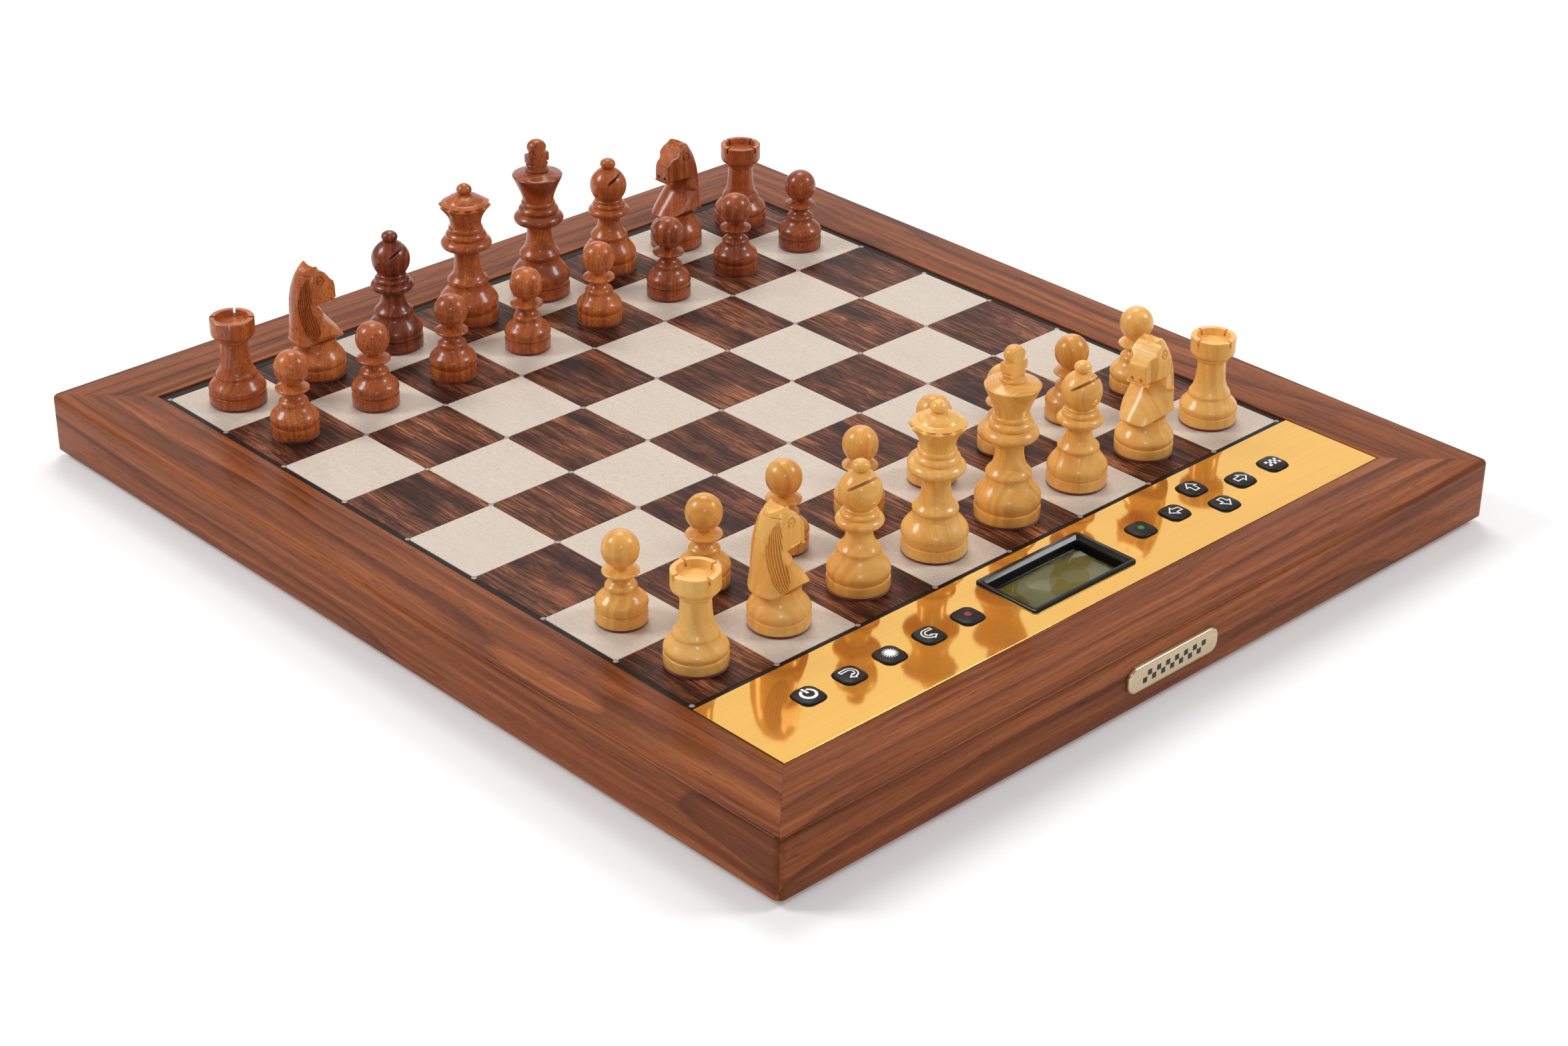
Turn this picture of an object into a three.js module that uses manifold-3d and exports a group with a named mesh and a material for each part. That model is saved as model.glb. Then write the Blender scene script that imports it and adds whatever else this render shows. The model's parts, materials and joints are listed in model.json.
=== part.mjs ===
// Electronic chess computer with a full set of chessmen, in millimetres, +Z up.
// +X runs from the a-file to the h-file and +Y from rank 1 to rank 8, so the
// control plate and the nameplate are on the -Y side. The origin is the centre
// of the footprint, on the surface the feet stand on.
//
// Four mitred rails form the case. They carry the playing board and the folded
// control plate on a narrow inner ledge, and a base panel in a rabbet below.
// The circuit board stands on bosses of the base panel: its light pipes reach
// up through the corners of the squares and its key switches sit under the
// buttons. Thirty-two loose chessmen stand on the board.
import * as THREE from "three";
import { mergeVertices } from "three/addons/utils/BufferGeometryUtils.js";
import Module from "manifold-3d";

const wasm = await Module();
wasm.setup();

// ---------------------------------------------------------------- dimensions
const SQUARE = 37; // side of one square of the board
const GAP = 0.05; // play at every seat and joint

const CASE_WIDTH = 359.4;
const CASE_DEPTH = 403.2;
const RAIL = 29; // width of a rail, seen from above
const LEDGE = 1.5; // how far the ledge reaches in under the board
const FOOT_HEIGHT = 3;
const CASE_TOP = 26;
const LEDGE_TOP = 19.3;
const TOP_ROUND = 1.5; // roundover of the outer top edge
const CORNER_ROUND = 3; // radius of the upright outer corners
const RABBET_WIDTH = 3.5; // bottom rabbet that takes the base panel
const RABBET_HEIGHT = 3.2;

const PLAQUE_LENGTH = 45.7;
const PLAQUE_HEIGHT = 9.8;
const PLAQUE_RADIUS = 3.9;
const PLAQUE_THICK = 1.6;

const BOARD_TOP = 25.35; // playing surface
const BOARD_THICK = 6;
const LIGHT_HOLE = 1.15; // radius of a hole at a corner of a square
const LIGHT_PIPE = 0.95; // radius of the light pipe in it
const BOARD_FRONT_EDGE = 42.35; // from the front of the opening
const FIELD_FRONT_EDGE = 44.9; // first rank starts here

const PLATE_LENGTH = 300;
const PLATE_FRONT = 0.55; // from the front of the opening
const PLATE_BACK = 41.85;
const PLATE_THICK = 1.2;
const LIP = 1.7; // lip of the plate under the front edge of the board

const KEY_LINE = 23; // centre line of the keys, from the front of the opening
const KEY_PITCH = 18.4;
const KEY_STEP = 7.6; // offset of the up and down keys from the centre line
const KEY_SIDE = 10.1;
const KEY_RADIUS = 3.0;
const KEY_TOP = 27.2;
const KEY_PLAY = 0.2;
const KEY_FLANGE = 12.6;
const KEY_FLANGE_THICK = 1.8;
const KEY_STEM = 4;
const KEY_TRAVEL = 0.8;

const BEZEL = { length: 52.2, width: 28.4, top: 26.8, bottom: 19.4, round: 2 };
const SIGHT = { length: 45, width: 21, flare: 1.8 }; // opening above the window
const WINDOW = { length: 47, width: 23.2, thick: 1.2, top: 23.1 };
const LCD = { length: 46.6, width: 22.8 };

const CIRCUIT_BOTTOM = 12;
const CIRCUIT_THICK = 1.6;
const SWITCH_SIDE = 6;

const SOCKET = { x: -120, z: 13, radius: 5.4, depth: 12, hole: 3, pin: 1 };

// The frame is set back by half the plaque so that the whole part is centred.
const CASE_FRONT = -(CASE_DEPTH + PLAQUE_THICK + GAP) / 2 + PLAQUE_THICK + GAP;
const CASE_BACK = CASE_FRONT + CASE_DEPTH;
const OPEN_FRONT = CASE_FRONT + RAIL;
const OPEN_BACK = CASE_BACK - RAIL;
const OPEN_HALF = CASE_WIDTH / 2 - RAIL;
const FIELD_FRONT = OPEN_FRONT + FIELD_FRONT_EDGE;
const CIRCUIT_TOP = CIRCUIT_BOTTOM + CIRCUIT_THICK;
const KEY_Y = OPEN_FRONT + KEY_LINE;

// ----------------------------------------------------------------- materials
const paint = (color, roughness, metalness = 0) =>
  new THREE.MeshStandardMaterial({ color, roughness, metalness });
const WALNUT = () => paint(0x7a4a35, 0.42);
const VENEER = () => paint(0x8a6a5a, 0.45);
const BOXWOOD = () => paint(0xdba55a, 0.35);
const ROSEWOOD = () => paint(0x8c4420, 0.35);
const GOLD = () => paint(0xe6b46e, 0.25, 1);
const CHAMPAGNE = () => paint(0xd8c4a0, 0.35, 1);
const BLACK_GLOSS = () => paint(0x0c0b0b, 0.12);
const KEY_BROWN = () => paint(0x1e1614, 0.4);

// ------------------------------------------------------------ shape helpers
const group = new THREE.Group();

function add(name, geometry, material) {
  geometry.computeVertexNormals();
  const mesh = new THREE.Mesh(geometry, material);
  mesh.name = name;
  group.add(mesh);
  return mesh;
}

// A geometry as a solid: shared vertices merged, slivers at the poles dropped.
function solid(geometry) {
  const bare = geometry.clone();
  bare.deleteAttribute("normal");
  bare.deleteAttribute("uv");
  const g = mergeVertices(bare, 1e-4);
  const p = g.attributes.position;
  const index = [];
  let volume = 0;
  const at = (i) => new THREE.Vector3().fromBufferAttribute(p, i);
  for (let i = 0; i < g.index.count; i += 3) {
    const [a, b, c] = [g.index.getX(i), g.index.getX(i + 1), g.index.getX(i + 2)];
    if (a === b || b === c || c === a) continue;
    index.push(a, b, c);
    volume += at(a).dot(at(b).cross(at(c)));
  }
  if (volume < 0) index.reverse();
  return new wasm.Manifold(
    new wasm.Mesh({
      numProp: 3,
      vertProperties: new Float32Array(p.array),
      triVerts: new Uint32Array(index),
    }),
  );
}

function geometryOf(body) {
  const mesh = body.getMesh();
  const g = new THREE.BufferGeometry();
  const xyz = new Float32Array((mesh.vertProperties.length / mesh.numProp) * 3);
  for (let i = 0; i < xyz.length / 3; i++)
    for (let k = 0; k < 3; k++) xyz[3 * i + k] = mesh.vertProperties[mesh.numProp * i + k];
  g.setAttribute("position", new THREE.BufferAttribute(xyz, 3));
  g.setIndex(new THREE.BufferAttribute(new Uint32Array(mesh.triVerts), 1));
  return g;
}

const join = (first, ...rest) => rest.reduce((all, next) => all.add(next), first);
const cut = (first, ...rest) => rest.reduce((all, next) => all.subtract(next), first);

// A box between two corners.
function block(x0, x1, y0, y1, z0, z1) {
  const g = new THREE.BoxGeometry(x1 - x0, y1 - y0, z1 - z0);
  return solid(g.translate((x0 + x1) / 2, (y0 + y1) / 2, (z0 + z1) / 2));
}

// An upright prism on an outline of [x, y] points.
function prism(outline, z0, z1) {
  const shape = new THREE.Shape(outline.map(([x, y]) => new THREE.Vector2(x, y)));
  const g = new THREE.ExtrudeGeometry(shape, { depth: z1 - z0, bevelEnabled: false });
  return solid(g.translate(0, 0, z0));
}

function circle(x, y, radius, sides, turn = 0) {
  return Array.from({ length: sides }, (_, i) => {
    const a = turn + (2 * Math.PI * i) / sides;
    return [x + radius * Math.cos(a), y + radius * Math.sin(a)];
  });
}

function roundedRectangle(x, y, length, width, radius, steps = 2) {
  const points = [];
  const corners = [[1, 1, 0], [-1, 1, 1], [-1, -1, 2], [1, -1, 3]];
  for (const [sx, sy, quarter] of corners)
    for (let i = 0; i <= steps; i++) {
      const a = ((quarter + i / steps) * Math.PI) / 2;
      points.push([
        x + sx * (length / 2 - radius) + radius * Math.cos(a),
        y + sy * (width / 2 - radius) + radius * Math.sin(a),
      ]);
    }
  return points;
}

// A frustum between two rounded rectangles of the same centre.
function flare(x, y, length, width, radius, grow, z0, z1) {
  const low = prism(roundedRectangle(x, y, length, width, radius), z0, z1);
  const mesh = geometryOf(low);
  const p = mesh.attributes.position;
  for (let i = 0; i < p.count; i++) {
    if (p.getZ(i) < (z0 + z1) / 2) continue;
    p.setX(i, x + (p.getX(i) - x) * (1 + (2 * grow) / length));
    p.setY(i, y + (p.getY(i) - y) * (1 + (2 * grow) / width));
  }
  return solid(mesh);
}

// A turned body: [height, radius] from the bottom to the top, closed on its axis.
function turned(profile, segments) {
  const points = profile.map(([z, r]) => new THREE.Vector2(r, z));
  const ends = [new THREE.Vector2(0, profile[0][0]), ...points];
  if (points[points.length - 1].x > 0)
    ends.push(new THREE.Vector2(0, profile[profile.length - 1][0]));
  return solid(new THREE.LatheGeometry(ends, segments).rotateX(Math.PI / 2));
}

const moved = (body, x, y, z) => body.translate([x, y, z]);

// --------------------------------------------------------------------- case
// Section of a rail: distance from the outer face, height.
const ROUND_STEPS = 3;
const railSection = [[0, FOOT_HEIGHT]];
for (let i = 0; i <= ROUND_STEPS; i++) {
  const a = (Math.PI / 2) * (i / ROUND_STEPS);
  railSection.push([
    TOP_ROUND - TOP_ROUND * Math.cos(a),
    CASE_TOP - TOP_ROUND + TOP_ROUND * Math.sin(a),
  ]);
}
railSection.push(
  [RAIL - 0.4, CASE_TOP],
  [RAIL, CASE_TOP - 0.4],
  [RAIL, LEDGE_TOP],
  [RAIL + LEDGE, LEDGE_TOP],
  [RAIL + LEDGE, FOOT_HEIGHT + RABBET_HEIGHT],
  [RAIL + LEDGE - RABBET_WIDTH, FOOT_HEIGHT + RABBET_HEIGHT],
  [RAIL + LEDGE - RABBET_WIDTH, FOOT_HEIGHT],
);

// A rail along +X with its outer face at y = 0 and both ends mitred.
function rail(length) {
  const shape = new THREE.Shape(railSection.map(([t, z]) => new THREE.Vector2(t, z)));
  const g = new THREE.ExtrudeGeometry(shape, { depth: 1, bevelEnabled: false });
  const p = g.attributes.position;
  for (let i = 0; i < p.count; i++) {
    const [t, z, end] = [p.getX(i), p.getY(i), p.getZ(i) > 0.5 ? 1 : -1];
    p.setXYZ(i, end * (length / 2 - t - GAP), t, z);
  }
  return solid(g);
}

const caseOutline = prism(
  roundedRectangle(
    0, (CASE_FRONT + CASE_BACK) / 2, CASE_WIDTH, CASE_DEPTH, CORNER_ROUND, 3,
  ),
  FOOT_HEIGHT - 1,
  CASE_TOP + 1,
);
const sideY = (CASE_FRONT + CASE_BACK) / 2;
const railFront = moved(rail(CASE_WIDTH), 0, CASE_FRONT, 0);
const railBack = moved(rail(CASE_WIDTH).rotate([0, 0, 180]), 0, CASE_BACK, 0);
const railLeft = moved(rail(CASE_DEPTH).rotate([0, 0, -90]), -CASE_WIDTH / 2, sideY, 0);
const railRight = moved(rail(CASE_DEPTH).rotate([0, 0, 90]), CASE_WIDTH / 2, sideY, 0);

// The power socket's bore runs through the back rail.
const bore = solid(
  new THREE.CylinderGeometry(SOCKET.radius + 0.3, SOCKET.radius + 0.3, 60, 12)
    .translate(SOCKET.x, 0, 0),
).translate([0, CASE_BACK - 20, SOCKET.z]);

add("frame_rail_front", geometryOf(railFront.intersect(caseOutline)), WALNUT());
add("frame_rail_back", geometryOf(cut(railBack.intersect(caseOutline), bore)), WALNUT());
add("frame_rail_left", geometryOf(railLeft.intersect(caseOutline)), WALNUT());
add("frame_rail_right", geometryOf(railRight.intersect(caseOutline)), WALNUT());

// The plaque is a stadium standing on the front face.
const plaqueShape = new THREE.Shape(
  roundedRectangle(0, 0, PLAQUE_LENGTH, PLAQUE_HEIGHT, PLAQUE_RADIUS, 5)
    .map(([x, y]) => new THREE.Vector2(x, y)),
);
const plaque = new THREE.ExtrudeGeometry(plaqueShape, {
  depth: PLAQUE_THICK,
  bevelEnabled: false,
})
  .rotateX(Math.PI / 2)
  .translate(0, CASE_FRONT - GAP, (CASE_TOP + FOOT_HEIGHT) / 2);
add("nameplate", geometryOf(solid(plaque)), CHAMPAGNE());

// Feet under the four corners, each with a shallow recess for its screw.
const footProfile = [
  [0, 5.5], [0.6, 6.6], [FOOT_HEIGHT - GAP, 7],
];
for (const [name, sx, y] of [
  ["foot_front_left", -1, CASE_FRONT + 17],
  ["foot_front_right", 1, CASE_FRONT + 17],
  ["foot_back_left", -1, CASE_BACK - 17],
  ["foot_back_right", 1, CASE_BACK - 17],
]) {
  const recess = prism(circle(0, 0, 2.2, 8), -1, 1.4);
  const foot = cut(turned(footProfile, 16), recess);
  add(name, geometryOf(moved(foot, sx * (CASE_WIDTH / 2 - 17), y, 0)), paint(0x141414, 0.8));
}

// Base panel in the bottom rabbet, with bosses that carry the circuit board.
const panelInset = RAIL + LEDGE - RABBET_WIDTH + 0.1;
const panelTop = FOOT_HEIGHT + RABBET_HEIGHT - 0.1;
const bosses = [];
for (const x of [-120, 0, 120])
  for (const y of [-150, 2, 150])
    bosses.push(prism(circle(x, y, 3.5, 6), panelTop - 1, CIRCUIT_BOTTOM - GAP));
add(
  "base_panel",
  geometryOf(
    join(
      block(
        -CASE_WIDTH / 2 + panelInset, CASE_WIDTH / 2 - panelInset,
        CASE_FRONT + panelInset, CASE_BACK - panelInset, FOOT_HEIGHT, panelTop,
      ),
      ...bosses,
    ),
  ),
  paint(0x2a2522, 0.7),
);

// ------------------------------------------------------------ playing board
const gridLine = (i) => (i - 4) * SQUARE;
const fieldLine = (j) => FIELD_FRONT + j * SQUARE;
const holes = [];
const pipes = [];
for (let i = 0; i <= 8; i++)
  for (let j = 0; j <= 8; j++) {
    const [x, y] = [gridLine(i), fieldLine(j)];
    holes.push(prism(circle(x, y, LIGHT_HOLE, 4), 0, 40));
    pipes.push(prism(circle(x, y, LIGHT_PIPE, 4), CIRCUIT_TOP - 0.5, BOARD_TOP - 0.1));
  }
add(
  "playing_board",
  geometryOf(
    block(
      -OPEN_HALF + 0.1, OPEN_HALF - 0.1, OPEN_FRONT + BOARD_FRONT_EDGE, OPEN_BACK - 0.1,
      BOARD_TOP - BOARD_THICK, BOARD_TOP,
    ).subtract(wasm.Manifold.union(holes)),
  ),
  VENEER(),
);

// ------------------------------------------------------------ control plate
const keys = [
  ["button_power", -6.4, 0],
  ["button_take_back", -5.4, 0],
  ["button_light", -4.4, 0],
  ["button_replay", -3.4, 0],
  ["button_red", -2.4, 0],
  ["button_green", 2.4, 0],
  ["button_left", 3.4, 0],
  ["button_up", 4.4, 1],
  ["button_down", 4.4, -1],
  ["button_right", 5.4, 0],
  ["button_restart", 6.4, 0],
].map(([name, column, row]) => [name, column * KEY_PITCH, KEY_Y + row * KEY_STEP]);

const plateY0 = OPEN_FRONT + PLATE_FRONT;
const plateY1 = OPEN_FRONT + PLATE_BACK;
const plateHalf = PLATE_LENGTH / 2;
const flangeFoot = LEDGE_TOP + GAP;
const plateTray = cut(
  block(-plateHalf, plateHalf, plateY0, plateY1, flangeFoot, CASE_TOP),
  block(
    -plateHalf + PLATE_THICK, plateHalf - PLATE_THICK,
    plateY0 + PLATE_THICK, plateY1 - PLATE_THICK, 0, CASE_TOP - PLATE_THICK,
  ),
);
const plateLip = block(
  -OPEN_HALF + LEDGE + 0.5, OPEN_HALF - LEDGE - 0.5,
  plateY1 - PLATE_THICK, plateY1 + LIP, flangeFoot - 0.9, flangeFoot,
);
const plateNeck = block(
  -OPEN_HALF + LEDGE + 0.5, OPEN_HALF - LEDGE - 0.5,
  plateY1 - PLATE_THICK, plateY1, flangeFoot - 0.5, flangeFoot + 0.5,
);
const keyHoles = keys.map(([, x, y]) =>
  prism(
    roundedRectangle(
      x, y, KEY_SIDE + 2 * KEY_PLAY, KEY_SIDE + 2 * KEY_PLAY, KEY_RADIUS + KEY_PLAY, 2,
    ),
    CASE_TOP - 3, CASE_TOP + 1,
  ),
);
const bezelHole = prism(
  roundedRectangle(0, KEY_Y, BEZEL.length + 0.4, BEZEL.width + 0.4, BEZEL.round + 0.2),
  CASE_TOP - 3, CASE_TOP + 1,
);
add(
  "control_plate",
  geometryOf(cut(join(plateTray, plateLip, plateNeck), ...keyHoles, bezelHole)),
  GOLD(),
);

// Keys: a domed cap, a flange that holds it under the plate, and a stem that
// stops just over its switch.
const flangeTop = CASE_TOP - PLATE_THICK - 0.1;
const flangeBottom = flangeTop - KEY_FLANGE_THICK;
const switchTop = CIRCUIT_TOP + 5.2;
for (const [name, x, y] of keys) {
  const dome = 0.5;
  const outline = new THREE.Shape(
    roundedRectangle(0, 0, KEY_SIDE - 2 * dome, KEY_SIDE - 2 * dome, KEY_RADIUS - dome, 2)
      .map(([u, v]) => new THREE.Vector2(u, v)),
  );
  const cap = new THREE.ExtrudeGeometry(outline, {
    depth: KEY_TOP - flangeBottom - 2 * dome,
    bevelThickness: dome,
    bevelSize: dome,
    bevelSegments: 1,
  }).translate(0, 0, flangeBottom + dome);
  const key = join(
    solid(cap),
    block(
      -KEY_FLANGE / 2, KEY_FLANGE / 2, -KEY_FLANGE / 2, KEY_FLANGE / 2,
      flangeBottom, flangeTop,
    ),
    block(
      -KEY_STEM / 2, KEY_STEM / 2, -KEY_STEM / 2, KEY_STEM / 2,
      switchTop + KEY_TRAVEL, flangeBottom + 0.5,
    ),
  );
  add(name, geometryOf(moved(key, x, y, 0)), KEY_BROWN());
}

// Display: the window drops into the bezel from below and the module holds it.
add(
  "display_bezel",
  geometryOf(
    cut(
      prism(
        roundedRectangle(0, KEY_Y, BEZEL.length, BEZEL.width, BEZEL.round),
        BEZEL.bottom, BEZEL.top,
      ),
      block(
        -WINDOW.length / 2 - 0.1, WINDOW.length / 2 + 0.1,
        KEY_Y - WINDOW.width / 2 - 0.1, KEY_Y + WINDOW.width / 2 + 0.1,
        0, WINDOW.top + GAP,
      ),
      flare(
        0, KEY_Y, SIGHT.length, SIGHT.width, 0.8, SIGHT.flare, WINDOW.top - 0.5, BEZEL.top + 0.01,
      ),
    ),
  ),
  BLACK_GLOSS(),
);
add(
  "display_window",
  geometryOf(
    block(
      -WINDOW.length / 2, WINDOW.length / 2, KEY_Y - WINDOW.width / 2,
      KEY_Y + WINDOW.width / 2, WINDOW.top - WINDOW.thick, WINDOW.top,
    ),
  ),
  paint(0x98a08a, 0.08),
);
add(
  "lcd_module",
  geometryOf(
    block(
      -LCD.length / 2, LCD.length / 2, KEY_Y - LCD.width / 2, KEY_Y + LCD.width / 2,
      CIRCUIT_TOP + GAP, WINDOW.top - WINDOW.thick - GAP,
    ),
  ),
  paint(0x6f7350, 0.4),
);

// Circuit board with its light pipes and key switches.
const circuitX = OPEN_HALF - LEDGE - 0.25;
add(
  "main_board",
  geometryOf(
    join(
      block(
        -circuitX, circuitX, OPEN_FRONT + LEDGE + 0.25, OPEN_BACK - LEDGE - 0.25,
        CIRCUIT_BOTTOM, CIRCUIT_TOP,
      ),
      wasm.Manifold.union(pipes),
      ...keys.map(([, x, y]) =>
        block(
          x - SWITCH_SIDE / 2, x + SWITCH_SIDE / 2, y - SWITCH_SIDE / 2,
          y + SWITCH_SIDE / 2, CIRCUIT_TOP - 0.5, switchTop,
        ),
      ),
    ),
  ),
  paint(0x1f4d34, 0.5),
);

// Power socket: a barrel with a blind hole and a centre pin, open to the back.
const socketProfile = [
  [0, SOCKET.radius], [SOCKET.depth, SOCKET.radius], [SOCKET.depth, SOCKET.hole],
  [2, SOCKET.hole], [2, SOCKET.pin], [SOCKET.depth - 1.5, SOCKET.pin],
];
add(
  "power_socket",
  geometryOf(
    moved(
      turned(socketProfile, 16).rotate([-90, 0, 0]),
      SOCKET.x, CASE_BACK - SOCKET.depth - 0.4, SOCKET.z,
    ),
  ),
  paint(0x1a1a1a, 0.5),
);

// ----------------------------------------------------------------- chessmen
// Every man has a felt-covered rim, a groove, a bulb and a stepped ring. The
// sections are [height, radius] from the playing surface.
const pawnSection = [
  [0, 9], [4.7, 9], [5.1, 8.5], [7.4, 9.05], [9.8, 7.7], [12.7, 5.4], [16.5, 3.2],
  [18.7, 6.4], [21.1, 3.2], [24, 5.7], [27.2, 6.4], [31, 5.3], [33.8, 0],
];
const rookSection = [
  [0, 10.9], [4.4, 10.9], [4.8, 10.2], [6.6, 10.85], [11, 7.8], [12.6, 7.5], [16.2, 5.9],
  [24.2, 5.3], [28.8, 8.3], [35, 8.4], [35, 6.3], [31.6, 5.7], [31.4, 0],
];
const knightSection = [
  [0, 10.9], [4.4, 10.9], [4.8, 10.2], [6.8, 10.9], [11.8, 7.8], [14.8, 7.4],
];
const bishopSection = [
  [0, 11.1], [4.6, 11.1], [4.9, 10.4], [7.2, 11.05], [10, 9.8], [14, 7.5], [15.4, 7.5],
  [19, 5], [23.2, 4.5], [25.8, 8.4], [28.6, 6.7], [31.2, 5.3], [36.6, 7.5],
  [41.4, 6.2], [44.4, 2.4], [46, 3.2], [48.3, 0],
];
const queenSection = [
  [0, 11.8], [4.6, 11.8], [5, 11.1], [8.4, 11.85], [11.4, 10.4], [15, 7.9], [17.2, 8.1],
  [21.2, 5.6], [30, 5.1], [32.9, 10.15], [36.4, 8.1], [40.1, 6.3], [45, 7.4],
  [49, 10.3], [49.2, 8.7], [51.6, 6.2], [53.8, 2.2], [55.3, 3.1], [57.9, 0],
];
const kingSection = [
  [0, 11.9], [4.7, 11.9], [5, 11.2], [8.4, 11.9], [12, 10.2], [15.6, 7.95], [17.8, 8.2],
  [22, 5.7], [30.2, 5], [33.1, 10.1], [36.8, 8.05], [40.6, 6.2], [45.6, 7.6],
  [51.4, 10.05], [53.5, 4.7], [54.4, 4.6], [55.2, 3.8], [57, 3],
];

const SEGMENTS = 12;

function rookBody() {
  const slit = (x, y) => block(-x, x, -y, y, 31.6, 40);
  return cut(turned(rookSection, SEGMENTS), slit(12, 0.6), slit(0.6, 12));
}

function bishopBody() {
  const slit = block(-0.5, 12, -10, 10, -0.5, 0.5).rotate([0, -38, 0]);
  return cut(turned(bishopSection, SEGMENTS), moved(slit, 1.4, 0, 38));
}

// Scallops round the coronet: every other corner of the rim is drawn in.
const SCALLOPS = 7;
function queenBody() {
  const body = turned(queenSection, 2 * SCALLOPS);
  const g = geometryOf(body);
  const p = g.attributes.position;
  for (let i = 0; i < p.count; i++) {
    if (Math.abs(p.getZ(i) - 49) > 0.1) continue;
    const a = Math.atan2(p.getY(i), p.getX(i));
    const draw = Math.cos(SCALLOPS * (a + Math.PI / 2)) > 0 ? 1 : 0.92;
    p.setXYZ(i, p.getX(i) * draw, p.getY(i) * draw, p.getZ(i));
  }
  return solid(g);
}

// The king's finial is a stubby cross with a rounded head, flat to the players.
function kingBody() {
  const outline = [
    [-3.4, 55], [3.4, 55], [4.5, 56.3], [3.9, 57.2], [4.9, 57.6], [4.9, 60.8],
    [3.1, 61.3], [3.9, 63.4], [2.7, 66.2], [-2.7, 66.2], [-3.9, 63.4], [-3.1, 61.3],
    [-4.9, 60.8], [-4.9, 57.6], [-3.9, 57.2], [-4.5, 56.3],
  ];
  const shape = new THREE.Shape(outline.map(([x, z]) => new THREE.Vector2(x, z)));
  const cross = new THREE.ExtrudeGeometry(shape, { depth: 4.4, bevelEnabled: false })
    .rotateX(Math.PI / 2)
    .translate(0, 2.2, 0);
  return join(turned(kingSection, SEGMENTS), solid(cross));
}

// The knight's head faces +X. It is cut from a round blank: the side outline
// shapes the face and the chest, flats thin the head, and the chest is faceted.
const KNIGHT_BLANK = [
  [14.5, 9.8], [15.6, 10.4], [25, 9.7], [33, 9.3], [38, 8.7], [42, 7.2], [45.6, 5.4],
];
const KNIGHT_OUTLINE = [
  [-12, 14], [8.6, 14], [11, 15.8], [11, 16.4], [0.9, 27.8], [1.4, 29], [3.2, 31.4],
  [4.4, 29.9], [7.7, 29.6], [8.1, 33.6], [7, 36.6], [3.7, 40], [3.2, 41.8], [1.2, 43.3],
  [0.1, 45.6], [-2, 44.2], [-12, 46],
];
function knightBody() {
  const shape = new THREE.Shape(KNIGHT_OUTLINE.map(([x, z]) => new THREE.Vector2(x, z)));
  const side = new THREE.ExtrudeGeometry(shape, { depth: 24, bevelEnabled: false })
    .rotateX(Math.PI / 2)
    .translate(0, 12, 0);
  const flat = (s) => block(-20, 20, s > 0 ? 6.6 : -20, s > 0 ? 20 : -6.6, 28, 60);
  const facet = (s) => moved(
    block(0, 20, -20, 20, -20, 20).rotate([0, -36, 0]).rotate([0, 0, s * 36]),
    1.6, s * 4, 27.4,
  );
  const head = cut(
    turned(KNIGHT_BLANK, 16).intersect(solid(side)),
    flat(1), flat(-1),
    facet(1).intersect(block(-20, 20, -20, 20, 14, 27.4)),
    facet(-1).intersect(block(-20, 20, -20, 20, 14, 27.4)),
    block(-3, 5, -2.2, 2.2, 43.4, 50),
  );
  return join(turned(knightSection, SEGMENTS), head);
}

const seat = BOARD_TOP + GAP;
const fileCentre = (i) => (i - 3.5) * SQUARE;
const rankCentre = (j) => FIELD_FRONT + (j + 0.5) * SQUARE;
const sides = [
  { side: "light", back: 0, front: 1, wood: BOXWOOD },
  { side: "dark", back: 7, front: 6, wood: ROSEWOOD },
];
const officers = [
  ["rook_a", rookBody, 0], ["knight_b", knightBody, 0], ["bishop_c", bishopBody, 0],
  ["queen", queenBody, 0], ["king", kingBody, 0], ["bishop_f", bishopBody, 0],
  ["knight_g", knightBody, 180], ["rook_h", rookBody, 0],
];
for (const { side, back, front, wood } of sides) {
  officers.forEach(([kind, make, turn], file) => {
    const man = make().rotate([0, 0, turn]);
    add(`${side}_${kind}`, geometryOf(moved(man, fileCentre(file), rankCentre(back), seat)), wood());
  });
  for (let file = 0; file < 8; file++) {
    const man = moved(turned(pawnSection, 10), fileCentre(file), rankCentre(front), seat);
    add(`${side}_pawn_${"abcdefgh"[file]}`, geometryOf(man), wood());
  }
}

export default group;
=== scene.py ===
import json
import math

import bpy
import bmesh
import numpy as np
from mathutils import Matrix, Vector
from mathutils.geometry import tessellate_polygon

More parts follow.
